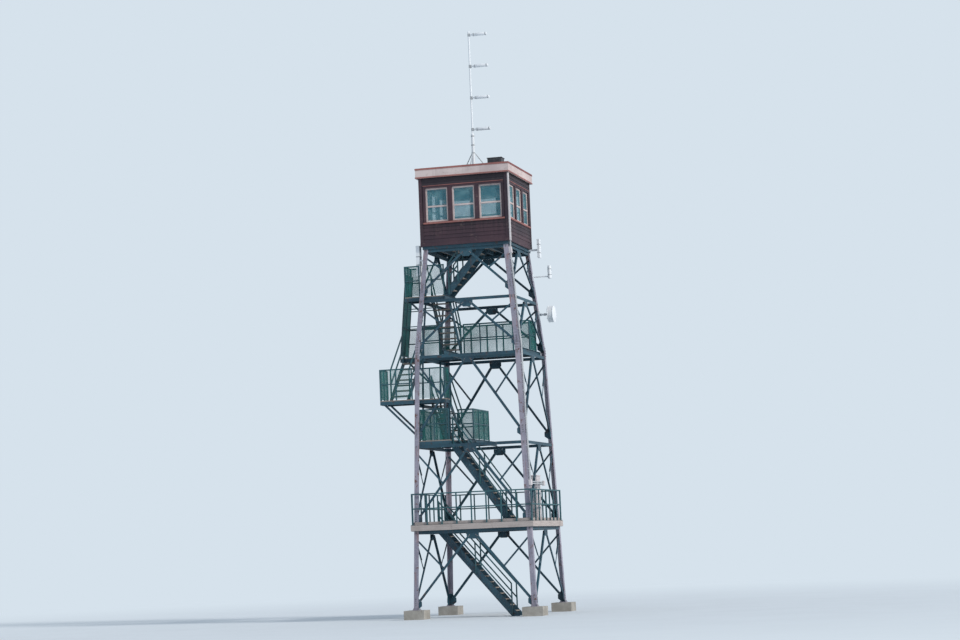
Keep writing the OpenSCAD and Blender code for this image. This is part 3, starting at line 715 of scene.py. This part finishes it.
MID = RAIL_T / 2  # from the edge of a landing to the middle of its rail
END = MID + 0.01  # from the middle of a rail to the end of the run that meets it
GUARD = FIRST_IN - 0.09
FIRST_RAIL, SECOND_RAIL = FIRST_RIGHT - MID, SECOND_FRONT + MID
LEG_GAP = (-1.66, -1.51)  # the left front leg passes between these on the third landing
LANDING_RUNS = {
    FIRST_Z: [
        across(-GUARD, -GUARD + END, -0.72),
        deep(-GUARD, -GUARD - MID, FIRST_BACK - MID - END),
        across(FIRST_BACK - MID, -GUARD - MID, FIRST_RAIL),
        deep(FIRST_RAIL, -0.88 + END, FIRST_BACK - MID - END),
        across(-0.88, -0.67, FIRST_RIGHT),
    ],
    HALF_Z: [
        deep(OUTER_X + MID, HALF_FRONT + MID + END, HALF_BACK),
        across(HALF_FRONT + MID, OUTER_X, -1.91),
        across(HALF_STEP + MID, -1.89, HALF_RIGHT),
        deep(HALF_RIGHT - MID, HALF_STEP + MID + END, HALF_BACK),
    ],
    SECOND_Z: [
        across(SECOND_BACK - MID, OUTER_X, SECOND_RIGHT),
        deep(SECOND_RIGHT - MID, SECOND_RAIL + END, SECOND_BACK - MID - END),
        across(SECOND_RAIL, -0.76, SECOND_RIGHT),
        across(SECOND_RAIL, -2.23, -1.53),
    ],
    THIRD_Z: [
        deep(THIRD_LEFT + MID, THIRD_FRONT + MID + END, THIRD_BACK - MID - END),
        across(THIRD_FRONT + MID, THIRD_LEFT, LEG_GAP[0]),
        across(THIRD_FRONT + MID, LEG_GAP[1], THIRD_RIGHT),
        across(THIRD_BACK - MID, THIRD_LEFT, LEG_GAP[0]),
    ],
}


def railing_mesh():
    """Mesh in the railings and in the leaning screen, and the ties that hold the screen."""
    s, ties = Shape(), Shape()
    for z, runs in LANDING_RUNS.items():
        for x, y, length, heading in runs:
            place = AXIS @ move(x, y, 0) @ turn(heading)
            mesh_grid(s, length, z + 0.04, z + RAIL_H - RAIL_T, place)
    lean = tilt(1)
    foot = AXIS @ move(OUTER_X, 0, SECOND_Z + RAIL_T * math.sin(lean))
    place = foot @ Matrix.Rotation(lean, 4, "Y") @ move(MID, SECOND_FRONT, 0) @ turn(90)
    mesh_grid(s, SCREEN_W, 0.08, SCREEN_H - RAIL_T, place, SCREEN_PITCH, SCREEN_WIRE)
    s.make("landing_mesh", "rail_steel", wire_paint)
    tie_half, into_frame = 0.015, 0.004
    for y, z in product((0.52, 1.35), (10.58, 9.97)):
        outer = -OUTER_X - (z - SECOND_Z) * math.tan(lean) - MID
        wide, length = (-tie_half, tie_half), outer - half_at(z) + into_frame
        ties.box(wide, (0, length), wide, AXIS @ move(-outer, y, z) @ turn(-90))
    ties.make("screen_ties", "rail_steel", rail_paint, BEVEL_FINE)


# Bolts and plates of the frame. Panels of the bracing: lower and upper height
PANELS = [(0.33, 2.9), (3.105, 5.75), (5.905, 8.75), (8.905, 10.63), (10.785, FRAME_TOP)]
GAUGE = 0.07  # from the edge of a leg to its row of bolts


def is_open(side, index):
    """The stairs pass through the left face in its two middle panels."""
    return side == 3 and index in (2, 3)


def panel_bolts(s, side, low, high):
    """Bolts on the corner plates and the middle plate of one panel."""
    stage = stage_of(low)
    place = face_matrix(side, stage)
    v0, v1 = along(stage, low), along(stage, high)
    foot_v = v0 + 0.1
    foot = Vector((edge_at(stage, foot_v) - 0.06, foot_v))
    apex = Vector((0, v1 - GIRT_W / 2))
    run = (apex - foot).normalized()
    steps = (0.17, 0.225)
    for end in (-1, 1):
        for at in [foot + run * step for step in steps] + [apex - run * step for step in steps]:
            bolt(s, end * at.x, at.y, -LEG_T, place)
        for v in (v0 + 0.13, v0 + 0.2, v0 + 0.27, v0 + 0.34):
            bolt(s, end * (edge_at(stage, v) - GAUGE), v, 0, place)


def frame_bolts():
    s = Shape()
    for side, (index, (low, high)) in product(range(4), enumerate(PANELS)):
        if not is_open(side, index):
            panel_bolts(s, side, low, high)
        place, v, edge = face_at(side, high, stage_of(high))
        for end, drop in product((-1, 1), (0.03, 0.07)):
            bolt(s, end * (edge - GAUGE), v - drop, 0, place)
    s.make("frame_bolts", "frame_steel", bolt_paint)


def splice_plates():
    """Plates that join the two stages of each leg, with two rows of bolts."""
    s, bolts = Shape(), Shape()
    length, thick = 0.2, 0.008
    for side, stage in product(range(4), (0, 1)):
        place, v, edge = face_at(side, SECOND_Z, stage)
        up = 1 if stage else -1
        for end in (-1, 1):
            x = sorted((end * (edge - 0.01), end * (edge - 0.14)))
            s.box(x, sorted((v, v + up * length)), (0, thick), place)
            for step, inward in product((0.05, 0.14), (0.045, 0.105)):
                bolt(bolts, end * (edge - inward), v + up * step, thick, place)
    s.make("leg_splices", "frame_steel", frame_paint, BEVEL_FINE)
    bolts.make("leg_splice_bolts", "frame_steel", bolt_paint)


def base_bolts():
    """Nuts and bolt ends on the base plates of the legs."""
    s = Shape()
    leg, out, plate_t = STAGES[0][2] - LEG_W / 2, 0.085, 0.025
    for sx, sy, dx, dy in product((-1, 1), (-1, 1), (-out, out), (-out, out)):
        place = AXIS @ move(sx * leg + dx, sy * leg + dy, FOOTING_H + plate_t)
        s.turned([(0.02, 0), (0.02, 0.018)], 6, place)
        s.turned([(0.01, 0), (0.01, 0.05)], 8, place)
    s.make("base_bolts", "frame_steel", bolt_paint)


# Cab
EAVES_Z = ROOF_Z - 0.2
FLOOR_EDGE = FLOOR_Z + 0.01


def lap_boards():
    """Lapped boards round the lower walls and a band of boards over the windows, the band
    painted darker as the shade of the eaves.
    """
    walls, frieze = Shape(), Shape()
    proud, foot_proud, board_h, end = 0.006, 0.02, 0.13, CAB_HALF - 0.05
    bands = ((walls, FLOOR_EDGE, SILL_Z - 0.06), (frieze, HEAD_Z + 0.06, EAVES_Z - 0.04))
    for (_, place), (s, low, high) in product(SIDES, bands):
        for z, top in pairwise(spread(low, high, round((high - low) / board_h) + 1)):
            outline = [(0, z), (0, top), (proud, top), (foot_proud, z)]
            s.strip(outline, (-end, end), -CAB_HALF, place)
    walls.make("cab_lap_boards", "wall_paint", wall_boards)
    frieze.make("cab_frieze_boards", "wall_paint", frieze_boards_painted_shade)


def corner_boards():
    """Corner boards, and a skirting board that hides the ends of the floor boards."""
    s, skirt = Shape(), Shape()
    wide, thick, skirt_t = 0.11, 0.026, 0.03
    outline = [(0, 0), (wide, 0), (wide, thick), (thick, thick), (thick, wide), (0, wide)]
    corner = -CAB_HALF - thick
    for side, place in SIDES:
        s.prism(outline, (FLOOR_Z + 0.012, ROOF_Z - 0.02), place @ move(corner, corner, 0))
        reach = CAB_HALF + (0 if side % 2 else skirt_t)
        y = (-CAB_HALF - skirt_t, -CAB_HALF)
        skirt.box((-reach, reach), y, (FLOOR_Z - 0.1, FLOOR_EDGE), place)
    s.make("cab_corner_boards", "wall_paint", wall_boards, BEVEL)
    skirt.make("cab_skirt_boards", "wall_paint", wall_boards, BEVEL)


def cab_floor_boards():
    s = Shape()
    for row in board_rows(-CAB_HALF, CAB_HALF):
        for x in stretches(-CAB_HALF, CAB_HALF, cut_in(row, HATCH_X, HATCH_Y)):
            floor_board(s, x, row, FLOOR_Z, FLOOR_T)
    s.make("cab_floor_boards", "deck_boards", boards_x, BEVEL, ["cab_floor"])


def inner_boards():
    """Lining boards under the windows and on the ceiling, and boards that close the eaves."""
    lining, eaves = Shape(), Shape()
    inner, thick, gap, tight = CAB_HALF - WALL_T, 0.012, 0.006, 0.002
    end, ceiling, sill_w = inner - 0.015, inner - 0.004, 0.05
    for side, place in SIDES:
        for z, top in pairwise(spread(FLOOR_Z + 0.005, SILL_Z - 0.025, 6)):
            lining.box((-end, end), (-inner, thick - inner), (z, top - gap), place)
        reach = inner - (sill_w if side % 2 else 0)
        y, z = (-inner, sill_w - inner), (SILL_Z - 0.025, SILL_Z - tight)
        lining.box((-reach, reach), y, z, place)
        x = CAB_HALF + tight if side % 2 else ROOF_HALF - tight
        y = (tight - ROOF_HALF, -CAB_HALF - tight)
        eaves.box((-x, x), y, (EAVES_Z, EAVES_Z + 0.015), place)
    for row in board_rows(-ceiling, ceiling):
        lining.box((-ceiling, ceiling), row, (CEILING_Z - 0.013, CEILING_Z - 0.001))
    lining.make("cab_lining_boards", "trim_paint", lining_boards, BEVEL_FINE)
    eaves.make("eaves_boards", "trim_paint", lining_boards, BEVEL_FINE)


# Panes of a window: lower and upper edge over the sill, and half the width
PANES = ((0.045, 0.506), (0.546, 1.105))
PANE_HALF = WINDOW_W / 2 - 0.045


def glazing_beads(s, x, low, high, place):
    """Thin beads that hold a pane, in the angle between the glass and its sash."""
    bead = 0.01
    y = (0.036 - CAB_HALF, 0.045 - CAB_HALF)
    for z in (low, high - bead):
        s.box((x - PANE_HALF, x + PANE_HALF), y, (z, z + bead), place)
    for u in (x - PANE_HALF, x + PANE_HALF - bead):
        s.box((u, u + bead), y, (low + bead, high - bead), place)


def window_boards():
    """Posts and a head board round the windows, a drip over them and a sloping sill below."""
    posts, sills, beads = Shape(), Shape(), Shape()
    face, half = -CAB_HALF, WINDOW_STEP + WINDOW_W / 2
    between = WINDOW_STEP - WINDOW_W
    y, head_h, drip_h = (face - 0.028, face), 0.07, 0.02
    sill = [(0, SILL_Z - 0.07), (0.05, SILL_Z - 0.07), (0.055, SILL_Z - 0.02),
            (-0.02, SILL_Z), (-0.02, SILL_Z - 0.07)]
    head, drip, end = half + 0.07, half + 0.08, half + 0.09
    drip_z = HEAD_Z + head_h
    for side, place in SIDES:
        posts.box((-head, head), y, (HEAD_Z, drip_z), place)
        sills.box((-drip, drip), (face - 0.045, face), (drip_z, drip_z + drip_h), place)
        for i in (-1.5, -0.5, 0.5, 1.5):
            x, wide = i * WINDOW_STEP, between
            if abs(i) > 1:
                x, wide = math.copysign(half + between / 4, i), between / 2
            posts.box((x - wide / 2, x + wide / 2), y, (SILL_Z, HEAD_Z), place)
        sills.strip(sill, (-end, end), face, place)
        for i, (low, high) in product((-1, 0, 1), PANES):
            glazing_beads(beads, i * WINDOW_STEP, SILL_Z + low, SILL_Z + high, place)
    posts.make("window_posts", "wall_paint", wall_boards, BEVEL_FINE)
    sills.make("window_sills", "wall_paint", red_trim, BEVEL_FINE)
    beads.make("glazing_beads", "trim_paint", trim_boards)


def roof_details():
    """Standing seams on the roof, drip edges and a lower trim on the fascia."""
    seams, drip = Shape(), Shape()
    half, thick, lip = 0.012, 0.012, 0.034
    outer, seam_end = ROOF_HALF + 0.028, ROOF_HALF - 0.01
    for x in spread(0.2 - ROOF_HALF, ROOF_HALF - 0.2, 7):
        y = (-seam_end, seam_end)
        seams.box((x - half, x + half), y, (ROOF_TOP, ROOF_TOP + 0.025))
    top, low = ROOF_Z + 0.095, ROOF_Z - 0.235
    for side, place in SIDES:
        reach, flat = (outer, outer - lip) if side % 2 else (outer + thick, outer + thick)
        drip.box((-flat, flat), (-outer - thick, lip - outer), (top, top + thick), place)
        for z in ((top - 0.05, top), (low, low + 0.045)):
            drip.box((-reach, reach), (-outer - thick, -outer), z, place)
    seams.make("roof_seams", "roof_metal", roof_sheet, BEVEL_FINE)
    drip.make("fascia_trim", "wall_paint", red_trim, BEVEL_FINE)


def louvres(s, slat, x, y, heights):
    """Sloping slats in front of a face at y, one at each height."""
    for height in heights:
        s.strip([(out, height + rise) for out, rise in slat], x, y)


def roof_gear():
    """Louvres and a lid on the roof box, a cap on the vent, and its flashing."""
    s = Shape()
    x0, x1, y0, y1, top = 0.82, 1.3, -1.25, -0.85, ROOF_TOP + 0.26
    lid = 0.02
    s.box((x0 - lid, x1 + lid), (y0 - lid, y1 + lid), (top, top + lid))
    slat = [(0, 0), (0.012, -0.014), (0.016, -0.012), (0.004, 0.006)]
    rows = spread(ROOF_TOP + 0.05, ROOF_TOP + 0.21, 5)
    louvres(s, slat, (x0 + 0.05, x1 - 0.05), y0 + 0.001, rows)
    vent = AXIS @ move(0.6, 0.3, ROOF_TOP)
    s.turned([(0.13, 0), (0.13, 0.006), (0.094, 0.03)], 24, vent)
    s.turned([(0.125, 0.225), (0.13, 0.235), (0.06, 0.275), (0.0, 0.285)], 24, vent)
    s.make("roof_gear_details", "gear_dark", gear_paint, BEVEL_FINE)


# Radio gear
ARM_TOP, ARM_STEP = MAST_TOP - 0.12, 1.1
FOOT_TOP = ROOF_TOP + 1.35
STAY_LEAN, STAY_REACH = math.radians(38), 0.6


def mast_gear():
    """Side arms with rounded covers, clamps, foot bolts and turnbuckles on the stays."""
    arms, clamps, bolts = Shape(), Shape(), Shape()
    boom = [(0.02, 0.03), (0.02, 0.12), (0.045, 0.122), (0.055, 0.135),
            (0.055, 0.628), (0.045, 0.643), (0, 0.645)]
    for i in range(4):
        place = AXIS @ move(0, 0, ARM_TOP - i * ARM_STEP)
        clamps.turned([(0.038, -0.05), (0.038, 0.05)], 16, place)
        clamps.box((0.028, 0.06), (-0.035, 0.035), (-0.045, 0.045), place)
        lying = place @ turn(90, "Y")
        arms.turned(boom, 24, lying)
        for at in (0.17, 0.58):
            clamps.band(0.056, 0.0015, at, 0.03, 24, lying)
    for z in (FOOT_TOP - 0.09, FOOT_TOP - 0.4, ROOF_TOP + 0.68):
        clamps.band(0.058, 0.003, z, 0.05, 20, AXIS, 0.005)
    arms.turned([(0.055, FOOT_TOP), (0.05, FOOT_TOP + 0.015), (0.032, FOOT_TOP + 0.035)], 20)
    for k in range(8):
        bolt(bolts, 0.125, 0, ROOF_TOP + 0.02, AXIS @ turn(22.5 + 45 * k), 0.012, 0.014)
    start = Vector((STAY_REACH, 0, ROOF_TOP + 0.005))
    run = Vector((-math.sin(STAY_LEAN), 0, math.cos(STAY_LEAN)))
    for angle in (30, 150, 270):
        place = AXIS @ turn(angle)
        clamps.rod(start + run * 0.16, start + run * 0.34, 0.024, 8, place)
        for dx, dy in product((-0.04, 0.04), (-0.04, 0.04)):
            bolt(bolts, STAY_REACH + dx, dy, ROOF_TOP + 0.015, place, 0.009, 0.01)
    arms.make("side_arm_covers", "gear_white", cover_white, 0, ["side_arms"], True)
    clamps.make("mast_clamps", "gear_white", galvanised)
    bolts.make("mast_bolts", "gear_white", bolt_paint)


DISH_Z = 10.2
AERIAL_Z, AERIAL_OUT = 11.5, 0.6
PANEL_AERIALS = [
    ((1.82, 1.9), (1.18, 1.4), (12.15, 12.78)),
    ((-1.7545, -1.6345), (-1.4445, -1.1945), (11.5, 12.5)),
]


def grown(span, low, high=None):
    """A stretch made longer at its two ends, by the same length if one is given."""
    return (span[0] - low, span[1] + (low if high is None else high))


def aerial_gear():
    """Rims and clamps of the dish, and end caps and straps of the other aerials."""
    caps, clamps = Shape(), Shape()
    x = half_at(DISH_Z)
    dish = AXIS @ move(x, x - 0.09, DISH_Z) @ turn(90, "Y")
    for at in (0.352, 0.525):
        caps.band(0.281, 0.008, at, 0.025, 48, dish, 0.005)
    for at in (0.05, 0.2):
        clamps.band(0.036, 0.01, at, 0.04, 20, dish)
    for dx, dy in ((-0.105, 0.04), (-0.105, -0.04), (0.105, 0.04), (0.105, -0.04)):
        bolt(clamps, dx, dy, 0.016, dish, 0.011, 0.012)
    for k in range(8):
        clamps.box((0.035, 0.24), (-0.004, 0.004), (0.32, 0.352), dish @ turn(45 * k))
    x = half_at(AERIAL_Z)
    aerial = AXIS @ move(x + AERIAL_OUT, x - 0.09, AERIAL_Z - 0.06)
    caps.turned([(0.066, 0.395), (0.066, 0.412), (0.05, 0.436), (0.0, 0.446)], 24, aerial)
    caps.turned([(0.05, -0.02), (0.066, 0.0), (0.066, 0.02)], 24, aerial)
    for at in (0.1, 0.3):
        clamps.band(0.066, 0.003, at, 0.03, 24, aerial)
    for x, y, (low, high) in PANEL_AERIALS:
        for z in ((low - 0.008, low + 0.05), (high - 0.05, high + 0.008)):
            caps.box(grown(x, 0.005), grown(y, 0.005), z)
        middle = (low + high) / 2
        for z in (middle - 0.16, middle + 0.12):
            clamps.box(grown(x, 0.008, 0.004), grown(y, 0.004), (z, z + 0.035))
    caps.make("aerial_caps", "gear_white", cover_white, BEVEL)
    clamps.make("aerial_clamps", "gear_white", galvanised)


# Wiring on the right side: a duct on the cab, and two conduits down the leg under it
PIPES = (0.038, 0.088)  # middles of the conduits, in from the edge of the leg
PIPE_OUT, PIPE_R, SLEEVE_R, PIPE_SIDES = 0.05, 0.02, 0.0245, 14
CLAMPS = [4.8, 5.55, 6.5, 7.4, 8.3, SECOND_Z, 9.45, 10.3, 11.35, 11.85]
TURN_Z = DECK_Z + 1.25  # where the conduits leave the leg, over the hand rail
LEG_BOX = (-0.004, 0.14)  # the boxes on the leg, in from its edge


def pipe_at(stage, inward, v):
    """The middle of a conduit on the leg, at a distance up the slope."""
    return Vector((inward - edge_at(stage, v), v, PIPE_OUT))


def shifted(span, by):
    return (span[0] + by, span[1] + by)


def wiring_run():
    """A duct down a corner of the cab, and conduits down its leg and on to the cabinet."""
    duct, pipes, bolts = Shape(), Shape(), Shape()
    cab = side_matrix(1)
    x, y = (-1.545, -1.465), (-CAB_HALF - 0.076, -CAB_HALF - 0.026)
    duct.box(x, y, (FLOOR_Z - 0.09, CEILING_Z - 0.01), cab)
    for z in (12.86, 13.6, 14.34):
        duct.box(grown(x, 0.004), grown(y, 0.003, 0.002), (z, z + 0.05), cab)
    upper, top, edge = face_at(1, FRAME_TOP, 1)
    duct.box(shifted(LEG_BOX, -edge), (top - 0.32, top - 0.1), (0, 0.09), upper)
    for inward in PIPES:
        start = (inward - 1.555, y[0] + 0.025, FLOOR_Z - 0.06)
        end = (inward - 1.475, -edge - 0.065, FRAME_TOP - 0.12)
        pipes.rod(start, end, 0.019, PIPE_SIDES, cab)
    lower, bend, bend_edge = face_at(1, TURN_Z, 0)
    runs = [(1, 0.0, top - 0.3), (0, bend + 0.05, along(0, SECOND_Z))]
    for (stage, low, high), inward in product(runs, PIPES):
        ends = pipe_at(stage, inward, low), pipe_at(stage, inward, high)
        pipes.rod(*ends, PIPE_R, PIPE_SIDES, face_matrix(1, stage))
    for z in CLAMPS:
        stage = stage_of(z)
        place, v, edge = face_at(1, z, stage)
        joint = z == SECOND_Z
        reach = 0.06 if joint else 0.016
        for inward in PIPES:
            ends = pipe_at(stage, inward, v - reach), pipe_at(stage, inward, v + reach)
            pipes.rod(*ends, SLEEVE_R, PIPE_SIDES, place)
        if not joint:
            pipes.box((0.008 - edge, 0.118 - edge), (v - 0.02, v + 0.02), (0, 0.045), place)
            for inward in (0.062, 0.112):
                bolt(bolts, inward - edge, v, 0.045, place, *SMALL_BOLT)
    duct.box(shifted(LEG_BOX, -bend_edge), (bend - 0.09, bend + 0.09), (0, 0.095), lower)
    duct.box((-0.17, -0.05), (bend - 0.08, bend + 0.08), (0.005, 0.095), lower)
    pipes.box((-1.11, -1.03), (bend - 0.06, bend + 0.06), (-0.02, 0.042), lower)
    cabinet = 1.835 - half_at(TURN_Z)
    for v in (bend - 0.03, bend + 0.03):
        for start, end, radius in [
            ((0.13 - bend_edge, v, PIPE_OUT), (-0.16, v, PIPE_OUT), PIPE_R),
            ((-1.095, v, PIPE_OUT), (-1.045, v, PIPE_OUT), SLEEVE_R),
            ((-0.11, v, 0.01), (-0.11, v, cabinet), PIPE_R),
        ]:
            pipes.rod(start, end, radius, PIPE_SIDES, lower)
    duct.make("wiring_duct", "trim_paint", cabinet_paint, BEVEL_WOOD)
    pipes.make("wiring_conduits", "gear_white", galvanised, 0, (), True)
    bolts.make("conduit_bolts", "gear_white", bolt_paint)


def cabinet_details():
    """A hood, plinth, door with hinges and a handle, and louvres on the cabinet."""
    s, dark = Shape(), Shape()
    x0, x1, y0, y1 = 1.45, 1.84, -0.35, 0.15
    low, top = DECK_Z, DECK_Z + 1.5
    s.box((x0 - 0.02, x1 + 0.02), (y0 - 0.03, y1 + 0.02), (top, top + 0.03))
    s.box((x0 + 0.02, x1 - 0.02), (y0 - 0.014, y0), (low + 0.12, top - 0.04))
    slat = [(0.012, 0.012), (0.026, 0), (0.028, 0.004), (0.012, 0.022)]
    for foot in (low + 0.2, low + 1.2):
        louvres(s, slat, (x0 + 0.08, x1 - 0.08), y0, spread(foot, foot + 0.175, 6))
    for z in (low + 0.3, low + 0.75, low + 1.2):
        s.box((x1, x1 + 0.008), (y0 + 0.03, y1 - 0.03), (z - 0.012, z + 0.012))
        hinge = AXIS @ move(x0 + 0.016, y0 - 0.01, z)
        dark.turned([(0.01, -0.04), (0.01, 0.04)], 10, hinge)
    plinth = (x0 - 0.006, x1 + 0.006), (y0 - 0.006, y1 + 0.006)
    dark.box(*plinth, (low + 0.001, low + 0.08))
    dark.box((x1 - 0.07, x1 - 0.045), (y0 - 0.04, y0 - 0.028), (low + 0.7, low + 0.86))
    for z in (low + 0.71, low + 0.84):
        dark.box((x1 - 0.066, x1 - 0.049), (y0 - 0.03, y0 - 0.013), (z, z + 0.014))
    s.make("cabinet_door", "trim_paint", cabinet_paint, BEVEL_FINE)
    dark.make("cabinet_fittings", "gear_dark", gear_paint, 0.001)


# Studio
BACKGROUND = (214, 226, 236)
SKY_LIGHT, SKY_STRENGTH = (206, 218, 232), 0.75
SUN_STRENGTH, SUN_ANGLE = 2.4, math.radians(8)
SUN_COLOUR, SUN_FROM = (1.0, 0.95, 0.9), (1, -0.35, 0.55)
FLOOR_HALF = 260
FADE = (9, 42)  # the floor turns into the background between these distances
CAMERA_AZ, CAMERA_EL, CAMERA_ROLL = (math.radians(a) for a in (15.2, -5.5, -2.3))
CAMERA_DISTANCE, CAMERA_LENS, TARGET_Z = 80.0, 88, 10.0


def floor_paint():
    """A pale floor that turns into the background colour away from the tower."""
    p = Paint("floor_paint")
    tone = p.ramp(p.noise(0.35, 3), 0.3, 0.7)
    material = p.finish(p.mix(tone, (216, 223, 228), (219, 226, 231)), 0.9)
    far = p.node("ShaderNodeEmission", {"Color": linear(BACKGROUND)})
    distance = p.node("ShaderNodeVectorMath", {0: p.coords}, operation="LENGTH")
    p.show(p.ramp(distance.outputs["Value"], *FADE), p.shader, far, "Material Output")
    return material


def lay_floor():
    floor = Shape()
    floor.box((-FLOOR_HALF, FLOOR_HALF), (-FLOOR_HALF, FLOOR_HALF), (-0.2, -0.001), Matrix())
    ground = floor.built("floor", floor_paint())


def light_scene(scene):
    """Soft light from all round and a sun. The background shows in glass and metal too."""
    world = bpy.data.worlds.new("world")
    scene.world = world
    world.use_nodes = True
    nodes = Nodes(world.node_tree)
    back = nodes.tree.nodes["Background"]
    back.inputs["Color"].default_value = linear(SKY_LIGHT)
    back.inputs["Strength"].default_value = SKY_STRENGTH
    seen = nodes.node("ShaderNodeBackground", {"Color": linear(BACKGROUND)})
    rays = nodes.node("ShaderNodeLightPath").outputs
    kinds = ("Is Camera Ray", "Is Glossy Ray", "Is Transmission Ray")
    nodes.show(nodes.most([rays[kind] for kind in kinds]), back, seen, "World Output")

    sun_data = bpy.data.lights.new("sun", "SUN")
    sun_data.energy = SUN_STRENGTH
    sun_data.angle = SUN_ANGLE
    sun_data.color = SUN_COLOUR
    sun = bpy.data.objects.new("sun", sun_data)
    sun.rotation_euler = Vector(SUN_FROM).to_track_quat("Z", "Y").to_euler()
    scene.collection.objects.link(sun)


def place_camera(scene):
    """The camera at the photograph's viewing angle."""
    level = math.cos(CAMERA_EL)
    away = Vector((
        math.sin(CAMERA_AZ) * level, -math.cos(CAMERA_AZ) * level, math.sin(CAMERA_EL)))
    data = bpy.data.cameras.new("camera")
    data.sensor_width = 36
    data.lens = CAMERA_LENS
    data.clip_end = 900
    camera = bpy.data.objects.new("camera", data)
    at = Vector((SHIFT_X, 0, TARGET_Z)) + away * CAMERA_DISTANCE
    aim = (-away).to_track_quat("-Z", "Y").to_matrix().to_4x4()
    camera.matrix_world = move(*at) @ aim @ Matrix.Rotation(CAMERA_ROLL, 4, "Z")
    scene.collection.objects.link(camera)
    scene.camera = camera


def studio():
    """A pale floor, soft light and the camera."""
    scene = bpy.context.scene
    scene.view_settings.view_transform = "Standard"
    lay_floor()
    light_scene(scene)
    place_camera(scene)


paint_nodes()
deck_boards()
deck_edges()
landings()
stair_treads()
railing_mesh()
frame_bolts()
splice_plates()
base_bolts()
cab_floor_boards()
lap_boards()
corner_boards()
window_boards()
inner_boards()
roof_details()
roof_gear()
mast_gear()
aerial_gear()
wiring_run()
cabinet_details()
studio()
